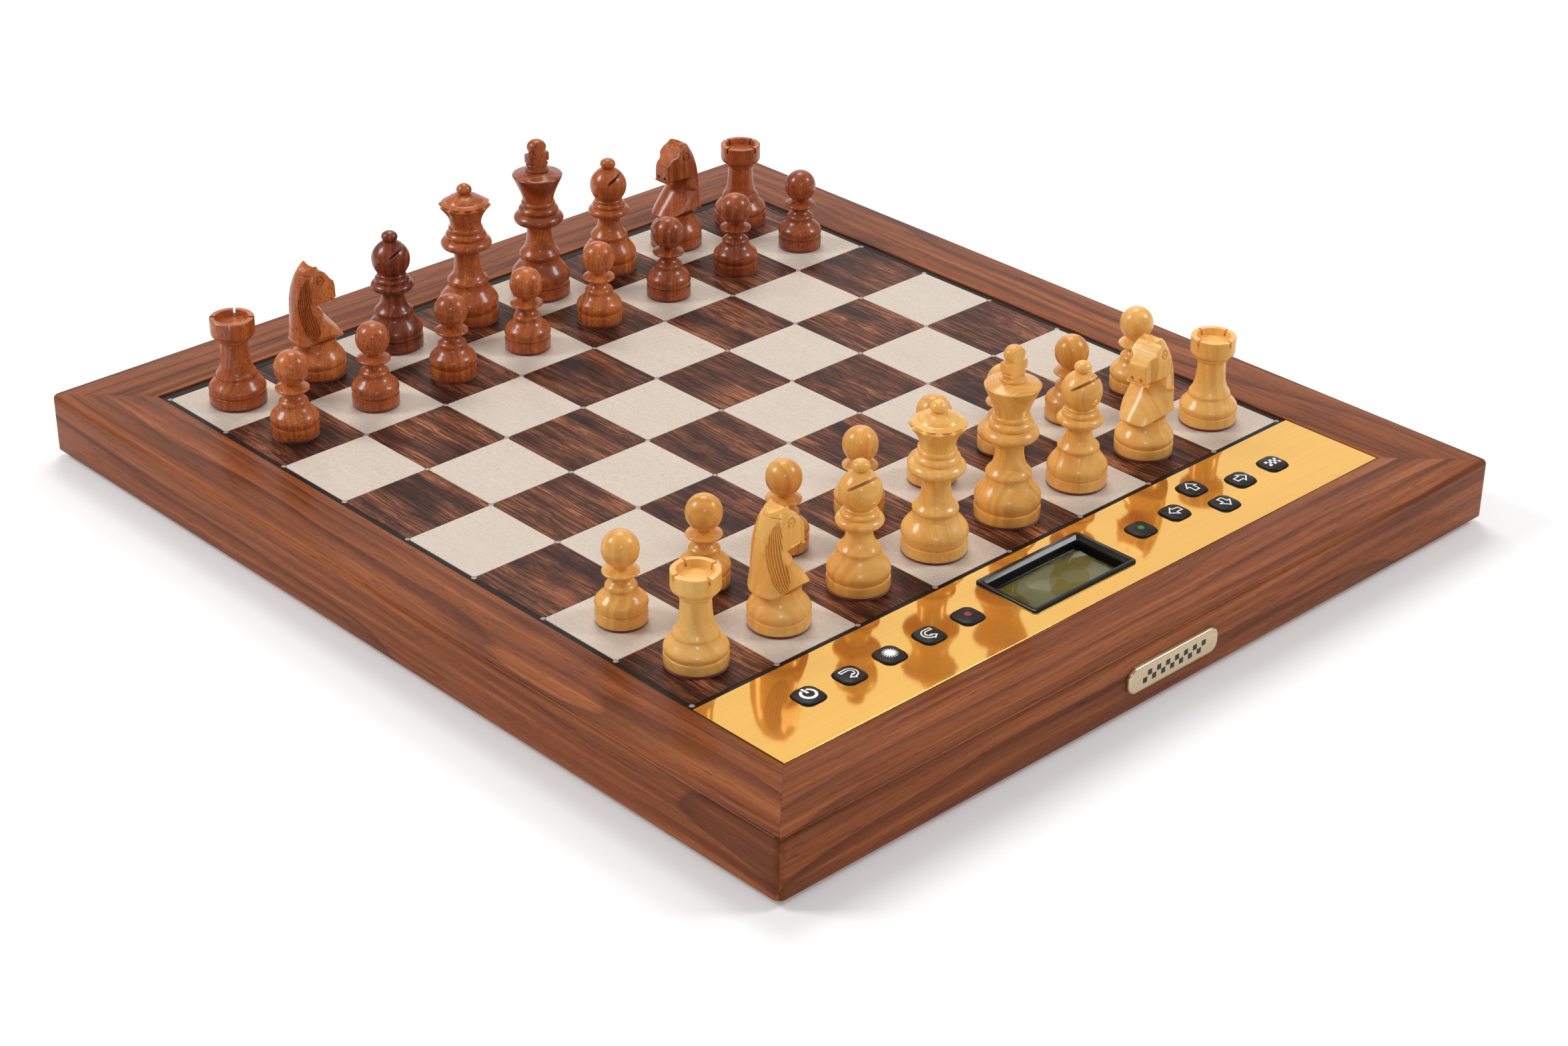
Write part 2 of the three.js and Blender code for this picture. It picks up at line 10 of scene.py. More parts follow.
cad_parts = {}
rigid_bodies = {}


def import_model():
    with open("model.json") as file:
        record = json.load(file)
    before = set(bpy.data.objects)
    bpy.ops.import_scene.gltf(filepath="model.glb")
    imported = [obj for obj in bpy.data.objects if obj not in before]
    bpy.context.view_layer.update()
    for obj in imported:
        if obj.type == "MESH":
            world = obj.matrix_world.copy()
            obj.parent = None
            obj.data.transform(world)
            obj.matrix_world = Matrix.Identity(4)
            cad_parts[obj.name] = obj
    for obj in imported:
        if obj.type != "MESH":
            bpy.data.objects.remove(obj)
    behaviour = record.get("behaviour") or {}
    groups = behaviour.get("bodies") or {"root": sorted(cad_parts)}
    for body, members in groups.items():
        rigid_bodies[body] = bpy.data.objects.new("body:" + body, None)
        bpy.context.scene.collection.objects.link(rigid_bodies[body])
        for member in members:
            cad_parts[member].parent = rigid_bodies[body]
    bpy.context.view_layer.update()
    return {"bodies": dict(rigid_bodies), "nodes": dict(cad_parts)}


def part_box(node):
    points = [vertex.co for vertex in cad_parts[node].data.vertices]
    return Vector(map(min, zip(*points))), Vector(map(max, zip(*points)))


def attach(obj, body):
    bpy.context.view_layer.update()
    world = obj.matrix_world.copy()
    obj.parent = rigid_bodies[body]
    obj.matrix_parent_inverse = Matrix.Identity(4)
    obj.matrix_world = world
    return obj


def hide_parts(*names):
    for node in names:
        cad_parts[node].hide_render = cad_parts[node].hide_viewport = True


# Looks of an electronic chess computer: a mitred walnut case, a veneered board with a lamp at
# every corner of its squares, a gold key plate with a display, and 32 turned and carved men.
# Lengths here are millimetres in the row frame. They become metres when a mesh is made.

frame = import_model()

MM = 0.001
dice = np.random.default_rng(7)


def node_box(node):
    """Lowest and highest corner of a CAD node, in millimetres."""
    low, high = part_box(node)
    return np.array(low) / MM, np.array(high) / MM


# ------------------------------------------------------------------ places from the frame
rail_low, rail_high = node_box("frame_rail_front")
case_low = np.array([node_box("frame_rail_left")[0][0], rail_low[1], rail_low[2]])
case_high = np.array([node_box("frame_rail_right")[1][0], node_box("frame_rail_back")[1][1], rail_high[2]])
board_low, board_high = node_box("playing_board")
plate_low, plate_high = node_box("control_plate")
bezel_low, bezel_high = node_box("display_bezel")
CASE_TOP = case_high[2]
CASE_BOTTOM = case_low[2]
BOARD_TOP = float(board_high[2])
PLATE_TOP = plate_high[2]


def node_middle(node):
    """Middle of a CAD node, seen from above."""
    low, high = node_box(node)
    return (low[:2] + high[:2]) / 2


SQUARE = float(node_middle("light_rook_h")[0] - node_middle("light_rook_a")[0]) / 7
FIELD_LEFT = -4 * SQUARE
FIELD_FRONT = float(node_middle("light_rook_a")[1]) - SQUARE / 2
SEAT = node_box("light_king")[0][2]


# ------------------------------------------------------------------------- shape helpers
def piece(name, points, faces, material, body="case", slot=None, replaces=(), grain=None, tone=None,
          sharp=32):
    """A mesh piece that rides on a body. grain holds one wood coordinate, in mm, for each point, and
    tone makes the whole piece's wood paler or darker."""
    mesh = bpy.data.meshes.new(name)
    mesh.from_pydata((np.asarray(points, float) * MM).tolist(), [], [list(map(int, f)) for f in faces])
    mesh.validate()
    mesh.polygons.foreach_set("use_smooth", [True] * len(mesh.polygons))
    mesh.set_sharp_from_angle(angle=math.radians(sharp))
    mesh.materials.append(material)
    if grain is not None:
        layer = mesh.attributes.new("grain", "FLOAT_VECTOR", "POINT")
        layer.data.foreach_set("vector", np.asarray(grain, np.float32).ravel())
    if tone is not None:
        layer = mesh.attributes.new("tone", "FLOAT", "POINT")
        layer.data.foreach_set("value", np.full(len(mesh.vertices), tone, np.float32))
    made = bpy.data.objects.new(name, mesh)
    bpy.context.scene.collection.objects.link(made)
    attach(made, body)
    if replaces:
        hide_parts(*replaces)
    return made


class Shell:
    """Points and faces of one or more closed solids, gathered before they become a piece."""

    def __init__(self):
        self.points, self.faces, self.grain = [], [], []

    def add(self, points, faces, grain=None):
        start = len(self.points)
        self.points.extend(map(tuple, points))
        self.faces.extend([[start + i for i in face] for face in faces])
        self.grain.extend(map(tuple, points if grain is None else grain))

    def piece(self, name, material, **facts):
        return piece(name, self.points, self.faces, material, grain=self.grain, **facts)


def smooth_run(run, steps=6):
    """A Catmull-Rom curve through the points of one run."""
    p = [np.array(point, float) for point in run]
    if len(p) < 3:
        return [tuple(point) for point in p]
    q = [2 * p[0] - p[1]] + p + [2 * p[-1] - p[-2]]
    made = []
    for i in range(1, len(q) - 2):
        a, b, c, d = q[i - 1 : i + 3]
        for k in range(steps):
            t = k / steps
            made.append(tuple(0.5 * (2 * b + (c - a) * t + (2 * a - 5 * b + 4 * c - d) * t * t
                                     + (3 * b - 3 * c + d - a) * t ** 3)))
    return made + [tuple(p[-1])]


def profile(runs, steps=6):
    """Runs of (height, radius) as one line. Each run is smooth, and runs meet at sharp corners."""
    return [point for run in runs for point in smooth_run(run, steps)]


def lathe(line, segments, centre=(0, 0), base=0.0):
    """Points and faces of a turned solid, closed on its axis. line is [(height, radius), ...]."""
    line = [(z, max(r, 0.0)) for z, r in line]
    turn = 2 * np.pi * np.arange(segments) / segments
    points, faces, rings = [], [], []
    for z, r in line:
        if r < 1e-6:
            rings.append([len(points)])
            points.append((centre[0], centre[1], base + z))
            continue
        rings.append(list(range(len(points), len(points) + segments)))
        points += [(centre[0] + r * math.cos(a), centre[1] + r * math.sin(a), base + z) for a in turn]
    for low, high in zip(rings, rings[1:]):
        for i in range(segments):
            j = (i + 1) % segments
            if len(low) == 1 and len(high) > 1:
                faces.append([low[0], high[j], high[i]])
            elif len(high) == 1 and len(low) > 1:
                faces.append([low[i], low[j], high[0]])
            elif len(low) > 1:
                faces.append([low[i], low[j], high[j], high[i]])
    if len(rings[0]) > 1:
        faces.append(rings[0][::-1])
    if len(rings[-1]) > 1:
        faces.append(rings[-1])
    return points, faces


def turned(points, angle, move=(0, 0, 0)):
    """Points, flat or solid, turned about z by an angle and then moved."""
    c, s = math.cos(angle), math.sin(angle)
    return [(c * x - s * y + move[0], s * x + c * y + move[1], *(v + move[2] for v in z))
            for x, y, *z in points]


def arc(centre, radius, start, stop, steps):
    """Points along a circle, from one angle to another in degrees."""
    return [(centre[0] + radius * math.cos(a), centre[1] + radius * math.sin(a))
            for a in np.radians(np.linspace(start, stop, steps + 1))]


def rounded(x, y, length, width, radius, steps=6):
    """A rounded rectangle, anticlockwise from its right side."""
    line = []
    for quarter, (sx, sy) in enumerate([(1, 1), (-1, 1), (-1, -1), (1, -1)]):
        for i in range(steps + 1):
            a = (quarter + i / steps) * math.pi / 2
            line.append((x + sx * (length / 2 - radius) + radius * math.cos(a),
                         y + sy * (width / 2 - radius) + radius * math.sin(a)))
    return line


def loft(outlines, closed=True):
    """A solid through outlines of equal length, each a list of (x, y, z), from low to high. closed
    gives it a first and a last face."""
    count = len(outlines[0])
    points = [point for line in outlines for point in line]
    faces = []
    for k in range(len(outlines) - 1):
        for i in range(count):
            j = (i + 1) % count
            faces.append([k * count + i, k * count + j, (k + 1) * count + j, (k + 1) * count + i])
    if closed:
        faces.append(list(range(count))[::-1])
        faces.append([(len(outlines) - 1) * count + i for i in range(count)])
    return points, faces


def slab(outer, holes, low, high, ease=0.0):
    """A flat plate with holes. Its top edges are eased by a small chamfer."""
    loops = [list(outer)] + [list(hole)[::-1] for hole in holes]
    points, faces = [], []
    tops, bottoms = [], []
    for loop in loops:
        ring = np.array(loop)
        step = np.roll(ring, -1, 0) - np.roll(ring, 1, 0)
        inward = np.stack([-step[:, 1], step[:, 0]], 1)
        inward /= np.linalg.norm(inward, axis=1)[:, None]
        levels = [(ring, low), (ring, high - ease), (ring + inward * ease, high)]
        start = len(points)
        count = len(ring)
        for line, z in levels if ease else levels[:1] + [(ring, high)]:
            points += [(x, y, z) for x, y in line]
        layers = 3 if ease else 2
        for k in range(layers - 1):
            for i in range(count):
                j = (i + 1) % count
                a = start + k * count
                faces.append([a + i, a + j, a + count + j, a + count + i])
        bottoms.append(list(range(start, start + count)))
        tops.append(list(range(start + (layers - 1) * count, start + layers * count)))
    for rings, flip in ((tops, False), (bottoms, True)):
        index = [i for ring in rings for i in ring]
        flat = [[Vector((points[i][0], points[i][1], 0)) for i in ring] for ring in rings]
        for tri in tessellate_polygon(flat):
            a, b, c = (index[i] for i in tri)
            area = ((points[b][0] - points[a][0]) * (points[c][1] - points[a][1])
                    - (points[b][1] - points[a][1]) * (points[c][0] - points[a][0]))
            if abs(area) < 1e-9:
                continue
            faces.append([a, b, c] if (area > 0) != flip else [a, c, b])
    return points, faces


def box_solid(low, high):
    x0, y0, z0 = low
    x1, y1, z1 = high
    lower = [(x0, y0, z0), (x1, y0, z0), (x1, y1, z0), (x0, y1, z0)]
    return loft([lower, [(x, y, z1) for x, y, _ in lower]])


def cut_away(made, points, faces):
    """Takes a closed solid out of a piece for good."""
    mesh = bpy.data.meshes.new("cutter")
    mesh.from_pydata((np.asarray(points, float) * MM).tolist(), [], faces)
    tool = bpy.data.objects.new("cutter", mesh)
    bpy.context.scene.collection.objects.link(tool)
    step = made.modifiers.new("cut", "BOOLEAN")
    step.operation, step.solver, step.object = "DIFFERENCE", "EXACT", tool
    graph = bpy.context.evaluated_depsgraph_get()
    done = bpy.data.meshes.new_from_object(made.evaluated_get(graph), preserve_all_data_layers=True,
                                           depsgraph=graph)
    made.modifiers.clear()
    old, made.data = made.data, done
    bpy.data.objects.remove(tool)
    for mesh in (old, mesh):
        bpy.data.meshes.remove(mesh)


# ------------------------------------------------------------------------------ materials
def srgb(red, green, blue):
    """A colour given as 0 to 255 on a screen, as linear light."""
    def linear(v):
        v = v / 255
        return v / 12.92 if v <= 0.04045 else ((v + 0.055) / 1.055) ** 2.4
    return (linear(red), linear(green), linear(blue), 1.0)


class Finish:
    """A procedural material, built by short calls."""

    def __init__(self, name, **sockets):
        self.material = bpy.data.materials.new(name)
        self.material.use_nodes = True
        self.tree = self.material.node_tree
        self.shader = self.tree.nodes["Principled BSDF"]
        self.set(**sockets)

    def set(self, **sockets):
        for name, value in sockets.items():
            self.join(self.shader, name.replace("_", " "), value)

    def join(self, node, socket, value):
        target = node.inputs[socket]
        if isinstance(value, bpy.types.NodeSocket):
            self.tree.links.new(value, target)
        else:
            target.default_value = value

    def node(self, kind, settings=(), **inputs):
        made = self.tree.nodes.new("ShaderNode" + kind)
        for name, value in dict(settings).items():
            setattr(made, name, value)
        for name, value in inputs.items():
            self.join(made, int(name[1:]) if name[0] == "i" and name[1:].isdigit()
                      else name.replace("_", " "), value)
        return made

    def grain(self):
        return self.node("Attribute", {"attribute_name": "grain"}).outputs["Vector"]

    def place(self):
        """The point in the row frame, in millimetres."""
        where = self.node("TexCoord").outputs["Object"]
        return self.node("VectorMath", {"operation": "SCALE"}, i0=where, Scale=1 / MM).outputs[0]

    def stretch(self, where, x, y, z):
        return self.node("VectorMath", {"operation": "MULTIPLY"}, i0=where, i1=(x, y, z)).outputs[0]

    def noise(self, where, scale=1.0, detail=2.0, rough=0.5):
        return self.node("TexNoise", Vector=where, Scale=scale, Detail=detail, Roughness=rough).outputs["Fac"]

    def bend(self, where, across, along, reach):
        """Wood coordinates that wander by up to reach, so that the grain isn't straight."""
        slow = self.stretch(where, across, across, along)
        drift = self.node("TexNoise", Vector=slow, Scale=1.0, Detail=2.0)
        wander = self.node("VectorMath", {"operation": "SCALE"}, i0=drift.outputs["Color"], Scale=reach)
        return self.node("VectorMath", {"operation": "ADD"}, i0=where, i1=wander.outputs[0]).outputs[0]

    def math(self, operation, a, b=0.0, c=0.0):
        return self.node("Math", {"operation": operation}, i0=a, i1=b, i2=c).outputs[0]

    def ramp(self, factor, *stops):
        made = self.node("ValToRGB", Fac=factor)
        line = made.color_ramp.elements
        while len(line) < len(stops):
            line.new(0.5)
        for stop, (at, colour) in zip(line, stops):
            stop.position = at
            stop.color = colour
        return made.outputs["Color"]

    def range(self, value, low, high, to_low=0.0, to_high=1.0):
        return self.node("MapRange", i0=value, i1=low, i2=high, i3=to_low, i4=to_high).outputs[0]

    def mix(self, factor, a, b):
        return self.node("Mix", {"data_type": "RGBA"}, i0=factor, i6=a, i7=b).outputs[2]

    def bump(self, height, strength, depth):
        """depth is the height of the relief, in millimetres."""
        made = self.node("Bump", Height=height, Strength=strength, Distance=depth * MM)
        self.tree.links.new(made.outputs[0], self.shader.inputs["Normal"])


def turned_wood(name, pale, middle, deep, pore, ring, contrast, pores, threads):
    """Solid wood with its grain along z: growth rings, fibres and fine dark pores. pores and threads say
    how strongly the pores and the dark fibres show."""
    f = Finish(name, Roughness=0.36, Specular_IOR_Level=0.3, Coat_Weight=0.4, Coat_Roughness=0.12)
    where = f.grain()
    bent = f.bend(where, 0.05, 0.018, 7.0)
    flat = f.stretch(bent, 1, 1, 0)
    radius = f.node("VectorMath", {"operation": "LENGTH"}, i0=flat).outputs["Value"]
    along = f.node("SeparateXYZ", Vector=where).outputs["Z"]
    rings = f.node("CombineXYZ", X=f.math("MULTIPLY", radius, ring), Y=0.0,
                   Z=f.math("MULTIPLY", along, 0.012)).outputs[0]
    year = f.noise(rings, 1.0, 3.0, 0.6)
    cloud = f.noise(f.stretch(where, 0.09, 0.09, 0.03), 1.0, 2.0)
    fibre = f.noise(f.stretch(bent, 5.0, 5.0, 0.22), 1.0, 3.0, 0.6)
    level = f.math("ADD", f.math("MULTIPLY", year, 0.62), f.math("MULTIPLY", cloud, 0.38))
    level = f.range(level, 0.5 - contrast, 0.5 + contrast)
    level = f.math("ADD", level, f.node("Attribute", {"attribute_name": "tone"}).outputs["Fac"])
    colour = f.ramp(level, (0.0, deep), (0.5, middle), (1.0, pale))
    colour = f.mix(f.range(fibre, 0.35, 0.75, 0.0, threads), colour, deep)
    holes = f.noise(f.stretch(bent, 4.2, 4.2, 0.6), 1.0, 1.0)
    holes = f.range(holes, 0.53, 0.64, 0.0, pores)
    colour = f.mix(holes, colour, pore)
    f.set(Base_Color=colour, Roughness=f.range(fibre, 0.3, 0.7, 0.30, 0.42))
    f.bump(f.math("SUBTRACT", fibre, holes), 0.35, 0.03)
    return f.material


def rail_wood(name):
    """Oiled walnut with its grain along z of its wood coordinates: growth layers, streaks and pores."""
    f = Finish(name, Specular_IOR_Level=0.08, Specular_Tint=srgb(255, 225, 200), Coat_Weight=0.2,
               Coat_IOR=1.3, Coat_Roughness=0.14)
    where = f.grain()
    bent = f.bend(where, 0.02, 0.006, 12.0)
    across = f.node("SeparateXYZ", Vector=bent)
    depth = f.math("MULTIPLY_ADD", across.outputs["Y"], 0.45, across.outputs["X"])
    drift = f.noise(f.stretch(where, 0.022, 0.022, 0.0030), 1.0, 2.0)
    layer = f.math("FRACT", f.math("MULTIPLY_ADD", drift, 5.0, f.math("MULTIPLY", depth, 0.085)))
    late = f.math("MULTIPLY", f.range(layer, 0.35, 0.93), f.range(layer, 1.0, 0.93))
    streak = f.noise(f.stretch(bent, 0.35, 0.35, 0.004), 1.0, 4.0, 0.55)
    fibre = f.noise(f.stretch(bent, 3.4, 3.4, 0.04), 1.0, 3.0, 0.6)
    colour = f.ramp(f.range(streak, 0.30, 0.70), (0.0, srgb(104, 50, 24)), (0.4, srgb(132, 70, 36)),
                    (0.7, srgb(148, 81, 43)), (1.0, srgb(168, 98, 54)))
    colour = f.mix(f.math("MULTIPLY", f.math("POWER", late, 2.5), 0.6), colour, srgb(62, 27, 14))
    colour = f.mix(f.range(fibre, 0.40, 0.75, 0.0, 0.4), colour, srgb(84, 40, 20))
    pores = f.range(f.noise(f.stretch(bent, 2.2, 2.2, 0.11), 1.0, 2.0, 0.6), 0.60, 0.68, 0.0, 0.6)
    colour = f.mix(pores, colour, srgb(50, 22, 12))
    f.set(Base_Color=colour, Roughness=f.range(fibre, 0.3, 0.7, 0.34, 0.46))
    f.bump(f.math("SUBTRACT", fibre, pores), 0.3, 0.04)
    return f.material


def veneer(name, stops, streak, line, line_share, pore, pore_share, mottle):
    """Flat veneer: broad streaks and clouds, fine lines a millimetre apart, and pores."""
    f = Finish(name, Roughness=0.42, Specular_IOR_Level=0.15, Specular_Tint=srgb(255, 230, 210))
    where = f.grain()
    bent = f.bend(where, 0.03, 0.02, 6.0)
    cloud = f.noise(f.stretch(where, 0.06, 0.06, 0.03), 1.0, 4.0, 0.6)
    broad = f.noise(f.stretch(bent, streak, streak, 0.014), 1.0, 4.0, 0.6)
    spots = f.noise(where, 0.9, 4.0, 0.65)
    rest = 0.5 - mottle / 2
    level = f.math("ADD", f.math("MULTIPLY", cloud, rest), f.math("MULTIPLY", broad, rest))
    level = f.math("MULTIPLY_ADD", spots, mottle, level)
    colour = f.ramp(f.range(level, 0.38, 0.62), *stops)
    fibre = f.noise(f.stretch(bent, 4.2, 4.2, 0.06), 1.0, 3.0, 0.6)
    lines = f.noise(f.stretch(bent, 1.5, 1.5, 0.012), 1.0, 1.0, 0.6)
    colour = f.mix(f.range(lines, 0.46, 0.56, 0.0, line_share), colour, line)
    colour = f.mix(f.range(fibre, 0.42, 0.70, 0.0, line_share), colour, line)
    pores = f.range(f.noise(f.stretch(bent, 2.6, 2.6, 0.12), 1.0, 2.0, 0.6), 0.58, 0.66, 0.0, pore_share)
    colour = f.mix(pores, colour, pore)
    f.set(Base_Color=colour, Roughness=f.range(fibre, 0.3, 0.7, 0.38, 0.5))
    f.bump(f.math("SUBTRACT", lines, pores), 0.25, 0.03)
    return f.material


def brushed(name, colour, rough, along=(0.012, 3.0, 3.0), strength=0.25, metal=1.0):
    """Polished metal with fine brush lines along x."""
    f = Finish(name, Metallic=metal, Base_Color=colour)
    lines = f.noise(f.stretch(f.place(), *along), 1.0, 4.0, 0.7)
    cloud = f.noise(f.stretch(f.place(), 0.01, 0.05, 0.05), 1.0, 2.0)
    tone = f.math("ADD", f.math("MULTIPLY", lines, 0.7), f.math("MULTIPLY", cloud, 0.3))
    dim = tuple(0.86 * c for c in colour[:3]) + (1.0,)
    f.set(Base_Color=f.mix(f.range(tone, 0.35, 0.65), dim, colour),
          Roughness=f.range(lines, 0.3, 0.7, rough * 0.8, rough * 1.3))
    f.bump(lines, strength, 0.004)
    return f.material


def moulded(name, colour, rough, speckle=0.04, coat=0.0, shine=0.5):
    """Moulded plastic, enamel or rubber with a fine surface texture."""
    f = Finish(name, Coat_Weight=coat, Coat_Roughness=0.05, Specular_IOR_Level=shine)
    fine = f.noise(f.place(), 6.0, 2.0)
    broad = f.noise(f.place(), 0.15, 2.0)
    pale = tuple(min(1.0, c * (1 + 6 * speckle) + 0.002) for c in colour[:3]) + (1.0,)
    f.set(Base_Color=f.mix(f.range(broad, 0.35, 0.65), colour, pale),
          Roughness=f.range(broad, 0.35, 0.65, rough * 0.9, rough * 1.1))
    f.bump(fine, speckle * 4, 0.01)
    return f.material


def felt_cloth():
    f = Finish("red_felt", Roughness=0.95, Sheen_Weight=0.6, Sheen_Roughness=0.5)
    fuzz = f.noise(f.place(), 4.0, 4.0, 0.7)
    f.set(Base_Color=f.mix(f.range(fuzz, 0.35, 0.65), srgb(70, 8, 12), srgb(122, 22, 26)))
    f.bump(fuzz, 0.8, 0.15)
    return f.material


def clear_sheet():
    f = Finish("clear_window", Base_Color=(0.96, 0.97, 0.93, 1), Roughness=0.01, IOR=1.26,
               Transmission_Weight=1.0)
    haze = f.noise(f.place(), 0.4, 2.0)
    f.set(Roughness=f.range(haze, 0.3, 0.7, 0.004, 0.012))
    return f.material


def display_green():
    """An unlit liquid crystal display: olive, with a faint pattern of cells."""
    f = Finish("display_green", Specular_IOR_Level=0.06)
    where = f.place()
    cells = f.node("TexBrick", {"offset": 0.0}, Vector=where, Color1=srgb(128, 118, 52),
                   Color2=srgb(133, 122, 56), Mortar=srgb(116, 106, 46), Scale=1.0, Mortar_Size=0.06,
                   Brick_Width=0.62, Row_Height=0.62)
    cloud = f.noise(where, 0.08, 2.0)
    f.set(Base_Color=f.mix(f.range(cloud, 0.3, 0.7, 0.0, 0.5), cells.outputs["Color"], srgb(104, 97, 42)),
          Roughness=f.range(cloud, 0.3, 0.7, 0.25, 0.35))
    return f.material


WALNUT = rail_wood("walnut")
BOXWOOD = turned_wood("boxwood", srgb(255, 205, 120), srgb(242, 180, 90), srgb(208, 136, 56),
                      srgb(160, 98, 44), 0.5, 0.26, 0.1, 0.2)
ROSEWOOD = turned_wood("rosewood", srgb(228, 132, 62), srgb(186, 92, 38), srgb(108, 43, 17),
                       srgb(40, 15, 8), 0.6, 0.24, 0.6, 0.35)
LIGHT_VENEER = veneer(
    "maple_veneer",
    [(0.0, srgb(203, 187, 172)), (0.5, srgb(211, 198, 183)), (1.0, srgb(217, 203, 192))],
    0.10, srgb(196, 178, 162), 0.18, srgb(176, 158, 140), 0.16, 0.7)
DARK_VENEER = veneer(
    "wenge_veneer",
    [(0.0, srgb(52, 27, 21)), (0.35, srgb(100, 56, 40)), (0.65, srgb(144, 84, 56)),
     (1.0, srgb(190, 118, 78))],
    0.16, srgb(36, 18, 14), 0.76, srgb(22, 11, 9), 0.8, 0.1)
EDGE_VENEER = veneer(
    "border_veneer",
    [(0.0, srgb(22, 13, 11)), (0.6, srgb(34, 20, 17)), (1.0, srgb(46, 28, 23))],
    0.3, srgb(20, 11, 10), 0.5, srgb(13, 8, 7), 0.6, 0.1)
CORE = moulded("board_core", srgb(34, 22, 20), 0.7)
GOLD = brushed("gold_plate", srgb(241, 186, 92), 0.06, metal=0.8)
CHAMPAGNE = brushed("champagne_metal", srgb(214, 194, 160), 0.28, (0.05, 1.5, 1.5), 0.15)
BLACK_GLOSS = moulded("black_gloss", srgb(12, 11, 11), 0.22, 0.02, 0.12, 0.3)
BLACK_MATT = moulded("black_matt", srgb(22, 21, 21), 0.55)
KEY_PLASTIC = moulded("key_plastic", srgb(24, 18, 17), 0.4, 0.03, 0.0, 0.22)
WHITE_INK = moulded("white_ink", srgb(240, 240, 240), 0.5, 0.01)
RED_INK = moulded("red_ink", srgb(150, 34, 30), 0.45, 0.02)
GREEN_INK = moulded("green_ink", srgb(20, 130, 60), 0.45, 0.02)
RUBBER = moulded("rubber", srgb(24, 24, 25), 0.75)
PANEL = moulded("fibre_board", srgb(52, 44, 38), 0.75, 0.06)
CIRCUIT = moulded("circuit_board", srgb(24, 84, 52), 0.4)
LENS = moulded("lamp_lens", srgb(150, 142, 134), 0.3)
STEEL = brushed("screw_steel", srgb(150, 150, 152), 0.35, (1.5, 1.5, 1.5), 0.2)
FELT = felt_cloth()
WINDOW = clear_sheet()
DISPLAY = display_green()


# ------------------------------------------------------------------------------ the rails
RAIL = board_low[0] - 0.1 - case_low[0]
LEDGE = (rail_high[1] - rail_low[1]) - RAIL
LEDGE_TOP = board_low[2] - 0.05
TOP_ROUND = 1.5
CORNER_ROUND = 3.0
INNER_ROUND = 0.2
FOOT_ROUND = 0.6
RABBET = (3.5, 3.2)
MITRE_GAP = 0.03
JACK_ROOM = 0.15
WELD_REACH = 0.002


def rail_section():
    """(distance from the outer face, height), clockwise from the outer bottom edge."""
    line = arc((FOOT_ROUND, CASE_BOTTOM + FOOT_ROUND), FOOT_ROUND, 270, 180, 3)
    line += arc((TOP_ROUND, CASE_TOP - TOP_ROUND), TOP_ROUND, 180, 90, 8)
    line += arc((RAIL - INNER_ROUND, CASE_TOP - INNER_ROUND), INNER_ROUND, 90, 0, 3)
    line += [(RAIL, LEDGE_TOP), (RAIL + LEDGE, LEDGE_TOP), (RAIL + LEDGE, CASE_BOTTOM + RABBET[1])]
    line += [(RAIL + LEDGE - RABBET[0], CASE_BOTTOM + RABBET[1]), (RAIL + LEDGE - RABBET[0], CASE_BOTTOM)]
    return line


def rail_point(half, inset, z, side, angle):
    """A point near a rail's end: the outer corner is rounded up to the mitre."""
    if inset >= CORNER_ROUND:
        return side * (half - inset - MITRE_GAP), inset, z
    reach = CORNER_ROUND - inset
    x = half - CORNER_ROUND + reach * math.sin(angle) - MITRE_GAP
    return side * x, CORNER_ROUND - reach * math.cos(angle), z


def make_rail(name, length, turn, move, seed):
    section = rail_section()
    angles = np.radians(np.linspace(0, 45, 7))
    stations = [(-1, a) for a in angles[::-1]] + [(1, a) for a in angles]
    points, faces = [], []
    for side, angle in stations:
        points += [rail_point(length / 2, t, z, side, angle) for t, z in section]
    count = len(section)
    for k in range(len(stations) - 1):
        for i in range(count):
            j = (i + 1) % count
            a, b = k * count, (k + 1) * count
            faces.append([a + i, b + i, b + j, a + j])
    faces.append(list(range(count)))
    faces.append([(len(stations) - 1) * count + i for i in range(count)][::-1])
    points = np.array(points)
    grain = np.stack([points[:, 1] + seed * 61, points[:, 2] + seed * 23, points[:, 0] + seed * 400], 1)
    placed = turned(points, math.radians(turn), (*move, 0))
    made = piece(name, placed, faces, WALNUT, slot="rail_walnut", grain=grain, sharp=25)
    weld(made)
    return made


def weld(made):
    """Joins points that lie together and drops the faces that this leaves flat."""
    work = bmesh.new()
    work.from_mesh(made.data)
    bmesh.ops.remove_doubles(work, verts=work.verts, dist=WELD_REACH * MM)
    bmesh.ops.dissolve_degenerate(work, edges=work.edges, dist=WELD_REACH * MM / 2)
    bmesh.ops.recalc_face_normals(work, faces=work.faces)
    work.to_mesh(made.data)
    work.free()
    made.data.set_sharp_from_angle(angle=math.radians(28))


def facing_back(points, start):
    """Points of a turned solid, laid along +y on the power socket's axis."""
    return [(jack_x + x, start + z, jack_z - y) for x, y, z in points]


